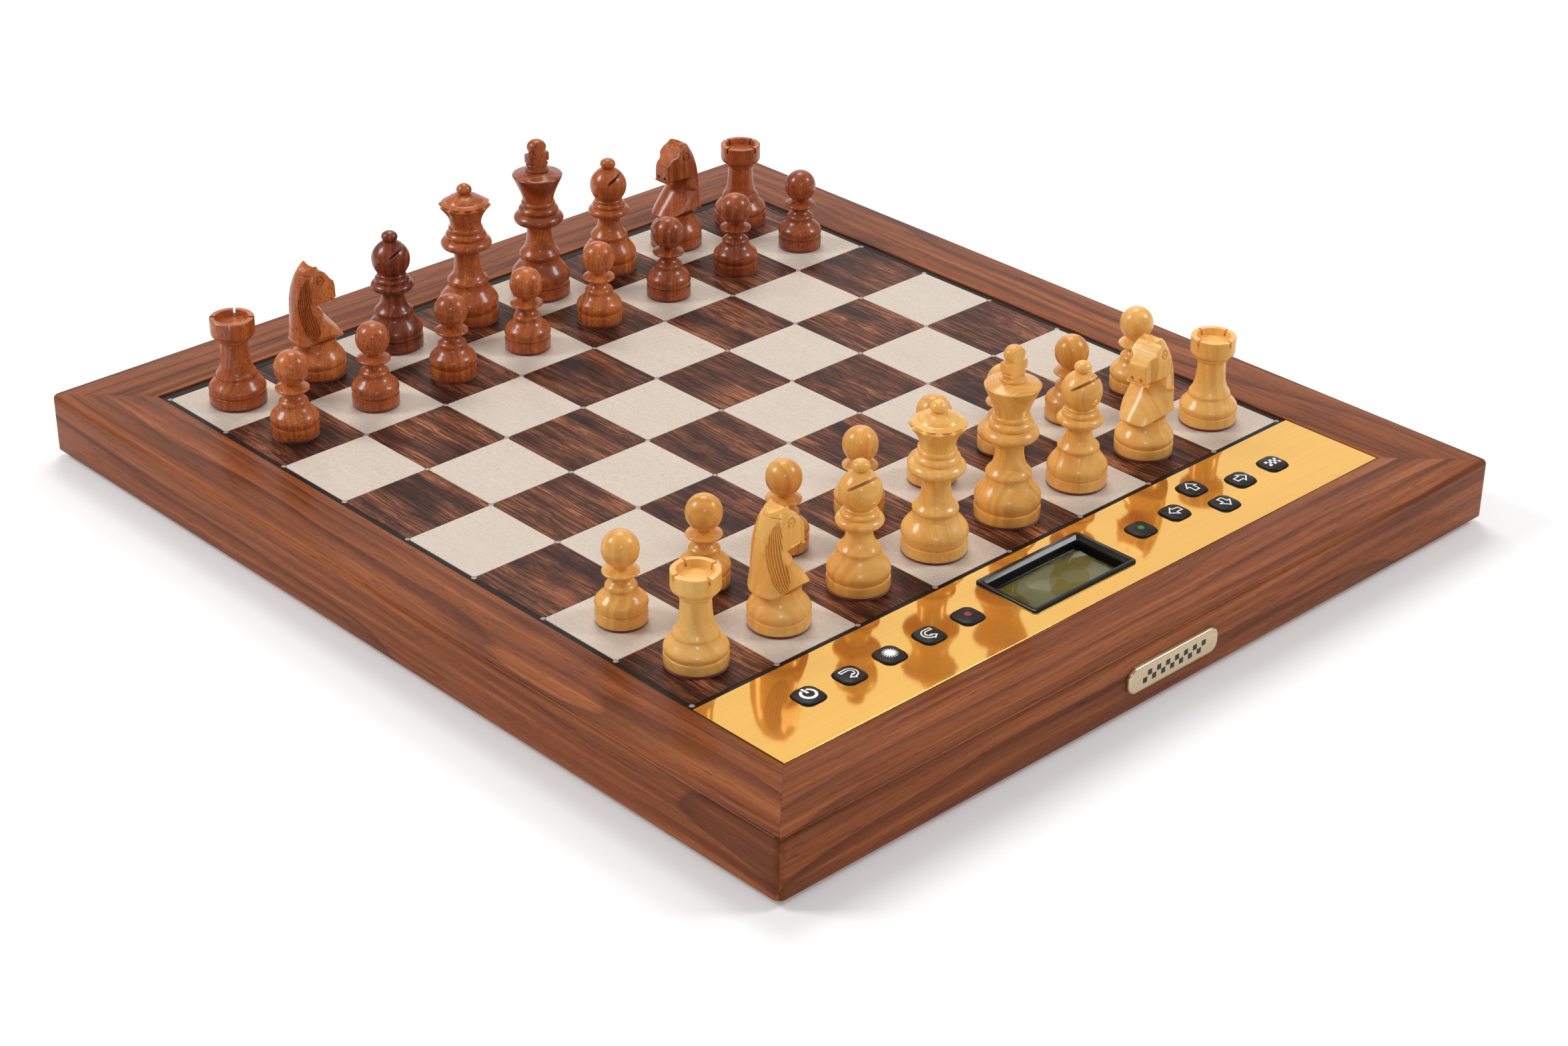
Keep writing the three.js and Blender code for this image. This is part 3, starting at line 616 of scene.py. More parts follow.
jack_low, jack_high = node_box("power_socket")
jack_x, _, jack_z = (jack_low + jack_high) / 2
jack_radius = (jack_high[2] - jack_low[2]) / 2
case_width = case_high[0] - case_low[0]
case_depth = case_high[1] - case_low[1]
middle_y = (case_low[1] + case_high[1]) / 2
for rail_name, rail_length, rail_turn, rail_move, rail_seed in [
    ("front", case_width, 0, (0, case_low[1]), 1),
    ("back", case_width, 180, (0, case_high[1]), 2),
    ("left", case_depth, -90, (case_low[0], middle_y), 3),
    ("right", case_depth, 90, (case_high[0], middle_y), 4),
]:
    rail = make_rail("walnut_rail_" + rail_name, rail_length, rail_turn, rail_move, rail_seed)
    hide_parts("frame_rail_" + rail_name)
    if rail_name == "back":
        bore_radius = jack_radius + JACK_ROOM
        hole, hole_faces = lathe([(-50, bore_radius), (50, bore_radius)], 48)
        cut_away(rail, facing_back(hole, case_high[1]), hole_faces)


# ------------------------------------------------------------------------------ the board
VENEER = 0.6
JOINT = 0.3
LAMP_HOLE = 1.08
LAMP_RADIUS = 1.0
EASE = 0.05
NOTCH_STEPS = 5
LAMP_FOOT = 20.0


def square_outline(x, y, inset):
    """A square between its joints, with a notch around the lamp at each corner."""
    half = SQUARE / 2 - JOINT / 2 - inset
    reach = LAMP_HOLE + inset
    line = []
    for quarter_turn, (sx, sy) in enumerate([(1, 1), (-1, 1), (-1, -1), (1, -1)]):
        corner = (x + sx * SQUARE / 2, y + sy * SQUARE / 2)
        lift = math.asin((JOINT / 2 + inset) / reach)
        first, last = math.pi * 1.5 - lift, math.pi + lift
        for i in range(NOTCH_STEPS + 1):
            a = first + (last - first) * i / NOTCH_STEPS + quarter_turn * math.pi / 2
            line.append((corner[0] + reach * math.cos(a), corner[1] + reach * math.sin(a)))
    return line


def tile(outline_at, low, high):
    """A veneer tile with an eased top edge. outline_at gives the outline at an inset."""
    levels = [(0, low), (0, high - EASE), (EASE, high)]
    return loft([[(x, y, z) for x, y in outline_at(inset)] for inset, z in levels])


ALONG_X, ALONG_Y = [1, 2, 0], [0, 2, 1]


def laid(points, order):
    """Wood coordinates for a piece of veneer cut at random. order puts the axis of its grain last."""
    return np.array(points)[:, order] + dice.uniform(-400, 400, 3)


squares = {"light": Shell(), "dark": Shell()}
for i in range(8):
    for j in range(8):
        x, y = FIELD_LEFT + (i + 0.5) * SQUARE, FIELD_FRONT + (j + 0.5) * SQUARE
        points, faces = tile(lambda inset: square_outline(x, y, inset), BOARD_TOP - VENEER, BOARD_TOP)
        kind = "dark" if (i + j) % 2 == 0 else "light"
        squares[kind].add(points, faces, laid(points, ALONG_Y))
squares["light"].piece("light_squares", LIGHT_VENEER, slot="board_veneer")
squares["dark"].piece("dark_squares", DARK_VENEER, slot="board_veneer")


def border_strip(corners, nodes):
    """Outline of one border strip. corners are its two outer points and nodes the lamps along it."""
    (a, b), line = corners, []
    heading = math.atan2(b[1] - a[1], b[0] - a[0])
    for k, (x, y) in enumerate(nodes):
        first, last = heading + math.pi, heading + 2 * math.pi
        slip = math.asin(JOINT / 2 / LAMP_HOLE)
        if k == 0:
            first = math.atan2(a[1] - y, a[0] - x)
            while first < heading + math.pi:
                first += 2 * math.pi
        elif k == len(nodes) - 1:
            last = math.atan2(b[1] - y, b[0] - x)
            while last < heading + math.pi:
                last += 2 * math.pi
        first += slip * (k > 0)
        last -= slip * (k < len(nodes) - 1)
        for i in range(9):
            t = first + (last - first) * i / 8
            line.append((x + LAMP_HOLE * math.cos(t), y + LAMP_HOLE * math.sin(t)))
    return [a, b] + line[::-1]


border = Shell()
left, right = board_low[0], board_high[0]
front, back = board_low[1], board_high[1]
ends = [FIELD_LEFT, FIELD_LEFT + 8 * SQUARE, FIELD_FRONT, FIELD_FRONT + 8 * SQUARE]
steps_x = [FIELD_LEFT + i * SQUARE for i in range(9)]
steps_y = [FIELD_FRONT + i * SQUARE for i in range(9)]
for corners, nodes, run in [
    (((left, front), (right, front)), [(x, ends[2]) for x in steps_x], ALONG_X),
    (((right, front), (right, back)), [(ends[1], y) for y in steps_y], ALONG_Y),
    (((right, back), (left, back)), [(x, ends[3]) for x in steps_x[::-1]], ALONG_X),
    (((left, back), (left, front)), [(ends[0], y) for y in steps_y[::-1]], ALONG_Y),
]:
    points, faces = slab(border_strip(corners, nodes), [], BOARD_TOP - VENEER, BOARD_TOP)
    border.add(points, faces, laid(points, run))
border.piece("board_border", EDGE_VENEER, slot="board_veneer")

lamp_spots = [(x, y) for x in steps_x for y in steps_y]
core_holes = [arc(spot, LAMP_HOLE, 0, 345, 23) for spot in lamp_spots]
core, core_faces = slab(
    [(left, front), (right, front), (right, back), (left, back)], core_holes,
    board_low[2], BOARD_TOP - VENEER - 0.02)
piece("board_core", core, core_faces, CORE, slot="board_veneer", replaces=["playing_board"])

lamps = Shell()
for spot in lamp_spots:
    lens = [(LAMP_FOOT, LAMP_RADIUS), (BOARD_TOP - 0.12, LAMP_RADIUS), (BOARD_TOP - 0.04, LAMP_RADIUS - 0.12),
            (BOARD_TOP, 0.45), (BOARD_TOP + 0.01, 0)]
    lamps.add(*lathe(lens, 20, spot))
lamps.piece("square_lamps", LENS)

# --------------------------------------------------------------------- the control plate
PLATE_THICK = 1.2
PLATE_FRONT = plate_low[1] - 0.3  # closer to the rail than the CAD's edge
PLATE_EASE = 0.04
PLATE_LAP = 0.45  # how far the display's surround covers the plate around its opening
KEY_SIDE = 9.9
KEY_RADIUS = 3.0
KEY_GAP = 0.22
KEY_NAMES = ["power", "take_back", "light", "replay", "red", "green", "left", "up", "down", "right",
             "restart"]


def key_outline(inset, centre=(0, 0)):
    side = KEY_SIDE - 2 * inset
    return rounded(*centre, side, side, KEY_RADIUS - inset, 8)


bezel_centre = node_middle("display_bezel")
bezel_size = bezel_high[:2] - bezel_low[:2]
openings = [key_outline(-KEY_GAP, node_middle("button_" + name)) for name in KEY_NAMES]
openings.append(rounded(*bezel_centre, *(bezel_size - 2 * PLATE_LAP), 1.6, 5))
plate_back = board_low[1] - 0.12
plate_outline = [(plate_low[0], PLATE_FRONT), (plate_high[0], PLATE_FRONT),
                 (plate_high[0], plate_back), (plate_low[0], plate_back)]
plate = Shell()
plate.add(*slab(plate_outline, openings, PLATE_TOP - PLATE_THICK, PLATE_TOP, PLATE_EASE))
skirt_low, skirt_high = LEDGE_TOP + 0.05, PLATE_TOP - PLATE_THICK
for low_corner, high_corner in [
    ((plate_low[0], PLATE_FRONT), (plate_high[0], PLATE_FRONT + PLATE_THICK)),
    ((plate_low[0], plate_back - PLATE_THICK), (plate_high[0], plate_back)),
    ((plate_low[0], PLATE_FRONT + PLATE_THICK), (plate_low[0] + PLATE_THICK, plate_back - PLATE_THICK)),
    ((plate_high[0] - PLATE_THICK, PLATE_FRONT + PLATE_THICK), (plate_high[0], plate_back - PLATE_THICK)),
]:
    plate.add(*box_solid((*low_corner, skirt_low), (*high_corner, skirt_high)))
plate.piece("gold_key_plate", GOLD, slot="gold_plate", replaces=["control_plate"])

# ------------------------------------------------------------------------------- the keys
KEY_FLANGE = 12.6
FLANGE_LOW, FLANGE_HIGH = 22.9, 24.6
STEM_RADIUS, STEM_HIGH = 2.0, 23.2
STEM_CLEAR = 0.05  # what a fully pressed key leaves above its switch
KEY_TOP = node_box("button_power")[1][2]
KEY_BOTTOM = node_box("button_power")[0][2]
KEY_SAG = 0.42
KEY_EDGE = 0.55


def key_height(x, y):
    """Height of a key's gently domed top, measured from its centre."""
    return KEY_TOP - KEY_SAG * (x * x + y * y) / (KEY_SIDE / 2) ** 2


def make_key(name):
    x, y = node_middle("button_" + name)
    flange = (KEY_SIDE - KEY_FLANGE) / 2
    rings = [[(x + px, y + py, z) for px, py in key_outline(inset)]
             for inset, z in [(flange, FLANGE_LOW), (flange, FLANGE_HIGH), (0, FLANGE_HIGH)]]
    for a in np.radians(np.linspace(0, 90, 6)):
        rings.append([(x + px, y + py, key_height(px, py) - KEY_EDGE * (1 - math.sin(a)))
                      for px, py in key_outline(KEY_EDGE * (1 - math.cos(a)))])
    for share in (0.85, 0.68, 0.5, 0.33, 0.16):
        rings.append([(x + px * share, y + py * share, key_height(px * share, py * share))
                      for px, py in key_outline(KEY_EDGE)])
    body = Shell()
    body.add(*loft(rings))
    stem = [(KEY_BOTTOM + STEM_CLEAR, STEM_RADIUS), (STEM_HIGH, STEM_RADIUS)]
    body.add(*lathe(stem, 24, (x, y)))
    body.piece("key_" + name, KEY_PLASTIC, body="button_" + name, slot="key_brown",
               replaces=["button_" + name])
    return x, y


INK = 0.03
INK_ROOT = 0.12


def ink_pad(shell, x, y, outline):
    """A thin printed patch that follows the key's dome. outline is convex or nearly so."""
    middle = np.mean(outline, axis=0)
    rings = [[(x + px, y + py, key_height(px, py) - INK_ROOT) for px, py in outline]]
    for share in (1.0, 0.7, 0.4, 0.15):
        ring = [middle + share * (np.array(point) - middle) for point in outline]
        rings.append([(x + px, y + py, key_height(px, py) + INK) for px, py in ring])
    shell.add(*loft(rings))


def stepped(line, closed, step=0.6):
    """The same line with points added, so that it can follow the key's dome."""
    p = [np.array(point, float) for point in line]
    made = []
    for a, b in zip(p, p[1:] + p[:1] if closed else p[1:]):
        count = max(1, math.ceil(np.linalg.norm(b - a) / step))
        made += [a + (b - a) * k / count for k in range(count)]
    return made if closed else made + [p[-1]]


def ink_line(shell, x, y, line, width=0.5, closed=False):
    """A printed stroke along a line of points, with mitred corners."""
    p = np.array(stepped(line, closed))
    count = len(p)
    before = np.roll(p, 1, 0)
    after = np.roll(p, -1, 0)
    if not closed:
        before[0] = 2 * p[0] - p[1]
        after[-1] = 2 * p[-1] - p[-2]
    into = (p - before) / np.linalg.norm(p - before, axis=1)[:, None]
    out = (after - p) / np.linalg.norm(after - p, axis=1)[:, None]
    normal = np.stack([-(into + out)[:, 1], (into + out)[:, 0]], 1)
    normal /= np.linalg.norm(normal, axis=1)[:, None]
    lean = np.abs(np.sum(normal * np.stack([-into[:, 1], into[:, 0]], 1), 1))
    spread = np.clip(1 / np.maximum(lean, 0.45), 1, 2.2)
    sides = [p + normal * (spread * width / 2)[:, None], p - normal * (spread * width / 2)[:, None]]
    points = []
    for lift in (INK, -INK_ROOT):
        for side in sides:
            points += [(x + px, y + py, key_height(px, py) + lift) for px, py in side]
    faces = []
    spans = count if closed else count - 1
    for i in range(spans):
        j = (i + 1) % count
        faces += [[i, count + i, count + j, j], [2 * count + i, 2 * count + j, 3 * count + j, 3 * count + i],
                  [i, j, 2 * count + j, 2 * count + i],
                  [count + i, 3 * count + i, 3 * count + j, count + j]]
    if not closed:
        e = count - 1
        faces += [[0, 2 * count, 3 * count, count], [e, count + e, 3 * count + e, 2 * count + e]]
    shell.add(points, faces)


# Outlines of the keys' marks, from each key's centre: an arrow that points along +x, one that runs
# along +x, bends down and comes back, and the sun's first ray.
BLOCK_ARROW = [(-2.7, 1.1), (0.1, 1.1), (0.1, 2.5), (2.9, 0), (0.1, -2.5), (0.1, -1.1), (-2.7, -1.1)]
RETURN_ARROW = ([(-2.5, 2.6)] + arc((0.2, 0), 2.6, 90, -84, 14) + [(0.2, -3.1), (-1.5, -2.0), (0.2, -0.9)]
                + arc((0.2, 0), 1.4, -84, 90, 10) + [(-2.5, 1.4)])
SUN_RAY = [(2.85, 0.1), (2.85, -0.1), (1.7, -0.2), (1.7, 0.2)]


def draw_icon(name, x, y):
    ink, colour = Shell(), WHITE_INK
    if name == "power":
        ink_line(ink, x, y, arc((0, 0), 2.6, 114, 426, 30), 1.05)
        ink_line(ink, x, y, [(0, 3.5), (0, 0.2)], 0.95)
    elif name in ("left", "up", "down", "right"):
        turn = {"right": 0, "up": 90, "left": 180, "down": 270}[name]
        ink_line(ink, x, y, turned(BLOCK_ARROW, math.radians(turn)), closed=True)
    elif name == "take_back":
        ink_line(ink, x, y, RETURN_ARROW, closed=True)
    elif name == "replay":
        ink_line(ink, x, y, [(-px, py) for px, py in RETURN_ARROW[::-1]], closed=True)
    elif name == "light":
        ink_pad(ink, x, y, arc((0, 0), 1.8, 0, 345, 23))
        for k in range(18):
            ink_pad(ink, x, y, turned(SUN_RAY, math.radians(k * 20)))
    elif name in ("red", "green"):
        colour = RED_INK if name == "red" else GREEN_INK
        ink_pad(ink, x, y, arc((0, 0), 1.25, 0, 345, 23))
    else:
        cell = 1.2
        for column in range(5):
            for row in range(3):
                if (column + row) % 2:
                    continue
                px, py = (column - 2.5) * cell, (row - 1.5) * cell
                ink_pad(ink, x, y, [(px, py), (px + cell, py), (px + cell, py + cell), (px, py + cell)])
    ink.piece("icon_" + name, colour, body="button_" + name, slot="key_brown")


for key_name in KEY_NAMES:
    draw_icon(key_name, *make_key(key_name))

# ---------------------------------------------------------------------------- the display
SIGHT = np.array((45.0, 21.0))
FLARE = 3.6  # how much longer and wider the sight's sloping edge is at the top
GLASS_TOP = 23.1
GLASS_THICK = 1.2
CELL_DEPTH = 0.25  # from the glass down to the cells


def frame_ring(size, more, radius, z):
    """An outline around the display's centre, longer and wider than size."""
    return [(px, py, z) for px, py in rounded(*bezel_centre, *(size + more), radius, 6)]


lip = bezel_high[2]
bezel_points, bezel_faces = loft([frame_ring(*ring) for ring in [
    (SIGHT, 0.6, 0.5, bezel_low[2]),
    (bezel_size, -1.2, 1.4, bezel_low[2]),
    (bezel_size, -1.2, 1.4, PLATE_TOP + 0.02),
    (bezel_size, 0, 1.8, PLATE_TOP + 0.02),
    (bezel_size, 0, 1.8, lip - 0.35),
    (bezel_size, -0.2, 1.7, lip - 0.1),
    (bezel_size, -0.7, 1.5, lip),
    (SIGHT, FLARE + 0.3, 0.9, lip),
    (SIGHT, FLARE, 0.8, lip - 0.12),
    (SIGHT, 1.5, 0.6, lip - 1.05),
    (SIGHT, 1.2, 0.6, lip - 1.05),
    (SIGHT, 1.0, 0.5, lip - 1.2),
    (SIGHT, 0, 0.5, GLASS_TOP + 0.05),
    (SIGHT, 0, 0.5, GLASS_TOP - GLASS_THICK),
    (SIGHT, 0.6, 0.5, bezel_low[2]),
]], closed=False)
bezel = piece("display_surround", bezel_points, bezel_faces, BLACK_GLOSS, slot="black_gloss",
              replaces=["display_bezel"], sharp=30)
weld(bezel)
glass, glass_faces = loft([frame_ring(SIGHT, *ring) for ring in [
    (-0.5, 0.45, GLASS_TOP - GLASS_THICK), (-0.1, 0.45, GLASS_TOP - GLASS_THICK + 0.1),
    (-0.1, 0.45, GLASS_TOP - 0.1), (-0.3, 0.45, GLASS_TOP)]])
piece("display_glass", glass, glass_faces, WINDOW, slot="window_clear", replaces=["display_window"])
LCD_TOP = GLASS_TOP - GLASS_THICK - CELL_DEPTH
lcd_low, lcd_high = node_box("lcd_module")
lcd = Shell()
lcd.add(*loft([frame_ring(SIGHT, -0.8, 0.4, LCD_TOP - 1.4), frame_ring(SIGHT, -0.8, 0.4, LCD_TOP - 0.1),
               frame_ring(SIGHT, -1.0, 0.4, LCD_TOP)]))
lcd.piece("lcd_glass", DISPLAY, slot="lcd_olive", replaces=["lcd_module"])
tray = Shell()
tray.add(*loft([frame_ring((lcd_high - lcd_low)[:2], 0, 0.8, z) for z in (lcd_low[2], LCD_TOP - 1.5)]))
tray.piece("lcd_tray", BLACK_MATT, slot="lcd_olive")

# ---------------------------------------------------------------------------- the plaque
PLAQUE_RADIUS = 3.9
plaque_low, plaque_high = node_box("nameplate")
plaque_length, _, plaque_tall = plaque_high - plaque_low
plaque_x, _, plaque_z = (plaque_low + plaque_high) / 2
plaque_rings = []
for out, inset in [(0.0, 0.0), (0.7, 0.0), (1.1, 0.12), (1.4, 0.38), (1.55, 0.75), (1.6, 1.15), (1.5, 1.3),
                   (1.5, 1.6)]:
    outline = rounded(0, 0, plaque_length - 2 * inset, plaque_tall - 2 * inset, PLAQUE_RADIUS - inset, 14)
    plaque_rings.append([(plaque_x + px, plaque_high[1] - out, plaque_z + pz) for px, pz in outline])
plaque_points, plaque_faces = loft(plaque_rings)
piece("plaque", plaque_points, plaque_faces, CHAMPAGNE, slot="plaque_metal", replaces=["nameplate"],
      sharp=40)
chequer = Shell()
CELL = 2.3
CELL_EDGE = 0.15
for column in range(14):
    for row in range(2):
        if (column + row) % 2:
            continue
        px, pz = plaque_x + (column - 7) * CELL, plaque_z + (row - 1) * CELL
        low = (px + CELL_EDGE, plaque_low[1] + 0.04, pz + CELL_EDGE)
        high = (px + CELL - CELL_EDGE, plaque_low[1] + 0.2, pz + CELL - CELL_EDGE)
        chequer.add(*box_solid(low, high))
chequer.piece("plaque_chequer", BLACK_MATT, slot="plaque_metal")

# -------------------------------------------------------------------------------- the men
# Each man is runs of (height above the playing surface, radius).
FELT_TOP = 1.0
PAWN = [[(1.0, 8.6), (1.15, 8.95), (4.5, 9.0), (4.8, 8.75), (5.0, 8.45)],
        [(5.0, 8.4), (5.6, 8.75), (6.6, 9.0), (7.6, 9.05), (8.8, 8.6), (10.0, 7.5), (11.0, 6.4), (12.0, 5.6),
         (12.9, 5.2)],
        [(13.0, 5.55), (13.9, 5.45), (14.6, 4.8), (15.2, 4.0), (16.0, 3.35), (16.7, 3.2), (17.3, 3.45),
         (17.9, 4.4), (18.3, 5.6)],
        [(18.5, 6.1), (18.8, 6.4), (19.2, 6.4), (19.6, 6.0), (20.2, 4.8), (20.8, 3.6), (21.1, 3.2)],
        [(21.1, 3.2), (21.6, 3.7), (22.8, 4.85), (24.5, 5.9), (26.2, 6.35), (27.6, 6.42), (29.2, 6.15),
         (30.8, 5.45), (32.2, 4.3), (33.2, 2.9), (33.75, 1.4), (33.85, 0)]]
KING = [[(1.1, 11.5), (1.25, 11.85), (4.4, 11.9), (4.7, 11.65), (4.95, 11.2)],
        [(4.95, 11.15), (5.7, 11.5), (7.2, 11.85), (8.8, 11.85), (10.2, 11.4), (11.6, 10.5), (13.0, 9.4),
         (14.4, 8.4), (15.6, 7.95), (16.8, 7.8)],
        [(17.0, 8.25), (17.8, 8.25), (18.6, 7.8), (19.6, 6.9), (21, 6.05), (23.5, 5.35), (26.5, 5.0),
         (29.3, 4.9), (30.2, 5.1)],
        [(30.4, 5.2), (30.7, 7.0), (31.4, 8.9), (32.3, 9.85), (33.1, 10.1), (34.0, 9.85), (34.9, 9.1),
         (35.6, 8.2)],
        [(35.8, 7.75), (36.1, 7.95), (36.8, 8.1), (37.5, 7.9), (38.2, 7.3), (38.6, 6.7)],
        [(38.7, 6.55), (39.0, 6.75), (39.5, 6.85), (40.1, 6.75), (40.5, 6.4)],
        [(40.6, 6.1), (42.0, 6.35), (44.5, 7.1), (47.5, 8.4), (50.0, 9.55), (51.3, 10.05)],
        [(51.45, 10.1), (51.7, 9.95)],
        [(51.8, 9.8), (52.5, 7.6), (53.2, 5.4), (53.4, 4.7)],
        [(53.4, 4.6), (53.6, 4.75), (54.3, 4.75), (54.6, 4.4), (54.8, 3.7)]]
QUEEN = [[(1.1, 11.4), (1.25, 11.75), (4.4, 11.8), (4.7, 11.55), (4.95, 11.1)],
         [(4.95, 11.05), (5.7, 11.4), (7.2, 11.8), (8.6, 11.85), (10.0, 11.4), (11.4, 10.4), (12.8, 9.2),
          (14.0, 8.3), (15.2, 7.9), (16.2, 7.8)],
         [(16.4, 8.15), (17.2, 8.15), (18.0, 7.7), (19.0, 6.7), (20.4, 5.9), (22.5, 5.35), (25.5, 5.05),
          (29.0, 5.0), (30.0, 5.2)],
         [(30.2, 5.3), (30.5, 7.0), (31.2, 8.9), (32.1, 9.9), (32.9, 10.15), (33.8, 9.9), (34.7, 9.1),
          (35.3, 8.2)],
         [(35.5, 7.8), (35.8, 8.0), (36.4, 8.15), (37.1, 7.9), (37.8, 7.3), (38.1, 6.8)],
         [(38.2, 6.6), (38.5, 6.8), (39.0, 6.9), (39.6, 6.8), (40.0, 6.5)],
         [(40.1, 6.2), (41.5, 6.25), (43.0, 6.5), (44.8, 7.2), (46.5, 8.3), (48.0, 9.6), (49.0, 10.4)],
         [(49.35, 10.3), (49.9, 9.4), (50.6, 8.2), (50.85, 7.65)],
         [(50.9, 7.4), (51.8, 6.5), (52.7, 4.9), (53.4, 3.2), (53.75, 2.3)],
         [(53.8, 2.1), (54.4, 2.8), (55.3, 3.1), (56.4, 2.7), (57.4, 1.6), (57.9, 0)]]
BISHOP = [[(1.1, 10.7), (1.25, 11.05), (4.3, 11.1), (4.6, 10.85), (4.85, 10.4)],
          [(4.85, 10.35), (5.5, 10.7), (6.6, 11.0), (7.8, 11.0), (9.0, 10.5), (10.2, 9.7), (11.6, 8.7),
           (13.0, 7.8), (14.2, 7.35)],
          [(14.5, 7.65), (15.3, 7.6), (16.0, 7.1), (17.0, 6.2), (18.4, 5.3), (20.0, 4.75), (21.8, 4.45),
           (23.0, 4.45)],
          [(23.3, 4.8), (23.8, 6.4), (24.6, 7.8), (25.4, 8.35), (26.2, 8.4), (27.0, 7.9), (27.6, 7.1)],
          [(27.8, 6.55), (28.1, 6.7), (28.6, 6.75), (29.2, 6.5), (29.7, 5.9)],
          [(29.9, 5.55), (30.2, 5.7), (30.7, 5.7), (31.1, 5.4)],
          [(31.2, 5.2), (32.4, 6.2), (34.2, 7.1), (36.4, 7.5), (38.4, 7.4), (40.2, 6.75), (41.8, 5.6),
           (43.1, 4.3), (44.0, 3.0), (44.35, 2.4)],
          [(44.45, 2.2), (44.9, 2.85), (46.0, 3.2), (47.1, 2.85), (47.9, 1.9), (48.25, 0.9), (48.3, 0)]]
ROOK = [[(1.1, 10.5), (1.25, 10.85), (4.2, 10.9), (4.5, 10.65), (4.8, 10.2)],
        [(4.8, 10.2), (5.4, 10.6), (6.4, 10.85), (7.4, 10.6), (8.6, 9.7), (9.8, 8.7), (11.0, 7.9)],
        [(11.2, 7.85), (12.0, 7.8), (12.8, 7.4), (14.0, 6.7), (16.0, 6.0), (18.5, 5.6), (21.5, 5.35),
         (25.2, 5.2)],
        [(25.4, 5.4), (25.7, 5.9), (26.2, 6.1), (26.7, 5.95)],
        [(27.0, 6.2), (27.6, 7.3), (28.3, 8.1), (29.2, 8.4)],
        [(29.3, 8.4), (34.8, 8.4)],
        [(35.0, 8.2), (35.0, 6.4)],
        [(34.8, 6.3), (32.6, 5.9)], [(32.4, 5.6), (32.3, 0)]]
KNIGHT_BASE = [[(1.1, 10.5), (1.25, 10.85), (4.2, 10.9), (4.5, 10.65), (4.8, 10.2)],
               [(4.8, 10.2), (5.4, 10.6), (6.6, 10.9), (7.8, 10.6), (9.2, 9.7), (10.6, 8.6), (12.0, 7.8),
                (13.2, 7.5), (14.9, 7.4)]]
SEGMENTS = 64


def man_wood(points, centre, pith):
    """Wood coordinates of a man: its own blank, turned about z, away from the tree's heart."""
    turn, radius, height = pith
    own = [(x - centre[0], y - centre[1], z) for x, y, z in points]
    return turned(own, turn, (radius, radius * 0.3, height))


def man_pith():
    return dice.uniform(0, 2 * math.pi), dice.uniform(14, 40), dice.uniform(-300, 300)


def scallop(points, centre, cuts=12):
    """Presses hollows into the outer edge of the queen's coronet."""
    shaped = []
    for px, py, pz in points:
        dx, dy, z = px - centre[0], py - centre[1], pz - SEAT
        r = math.hypot(dx, dy)
        if r > 6.6 and 44.5 < z < 49.8:
            wave = (0.5 + 0.5 * math.cos(cuts * math.atan2(dy, dx))) ** 1.2
            depth = 1.3 * wave * min(1.0, (z - 44.5) / 3.5)
            new = max(r - depth, 6.6)
            dx, dy = dx * new / r, dy * new / r
            if r > 9.4:
                z -= 0.35 * wave
        shaped.append((centre[0] + dx, centre[1] + dy, SEAT + z))
    return shaped


def finial_cross(centre):
    """The king's cross: a turned knob with two flats, facing the players."""
    runs = [[(54.4, 3.6), (54.9, 3.85), (55.5, 4.2), (56.0, 4.5), (56.4, 4.55), (56.8, 4.2), (57.1, 3.7)],
            [(57.2, 3.8), (57.3, 4.7), (57.5, 5.0), (59.0, 5.05), (60.4, 5.0), (60.7, 4.7), (60.8, 3.4)],
            [(60.95, 3.1), (61.3, 3.15), (62.2, 3.65), (63.2, 3.9), (64.3, 3.7), (65.4, 2.9), (66.2, 1.5),
             (66.4, 0)]]
    points, faces = lathe(profile(runs, 4), SEGMENTS, centre, SEAT)
    work = bmesh.new()
    verts = [work.verts.new(point) for point in points]
    for face in faces:
        work.faces.new([verts[i] for i in face])
    for side in (-1, 1):
        geom = work.verts[:] + work.edges[:] + work.faces[:]
        cut = bmesh.ops.bisect_plane(work, geom=geom, plane_co=(centre[0], centre[1] + side * 2.2, 0),
                                     plane_no=(0, side, 0), clear_outer=True)
        edges = [item for item in cut["geom_cut"] if isinstance(item, bmesh.types.BMEdge)]
        bmesh.ops.holes_fill(work, edges=edges, sides=0)
    bmesh.ops.recalc_face_normals(work, faces=work.faces)
    work.verts.index_update()
    done = [tuple(v.co) for v in work.verts], [[v.index for v in face.verts] for face in work.faces]
    work.free()
    return done


def felt_disc(node, centre, radius):
    line = [(0.0, radius - 0.25), (0.15, radius - 0.05), (0.85, radius), (FELT_TOP, radius - 0.1)]
    points, faces = lathe(line, SEGMENTS, centre, SEAT)
    piece("felt_" + node, points, faces, FELT, body=node)


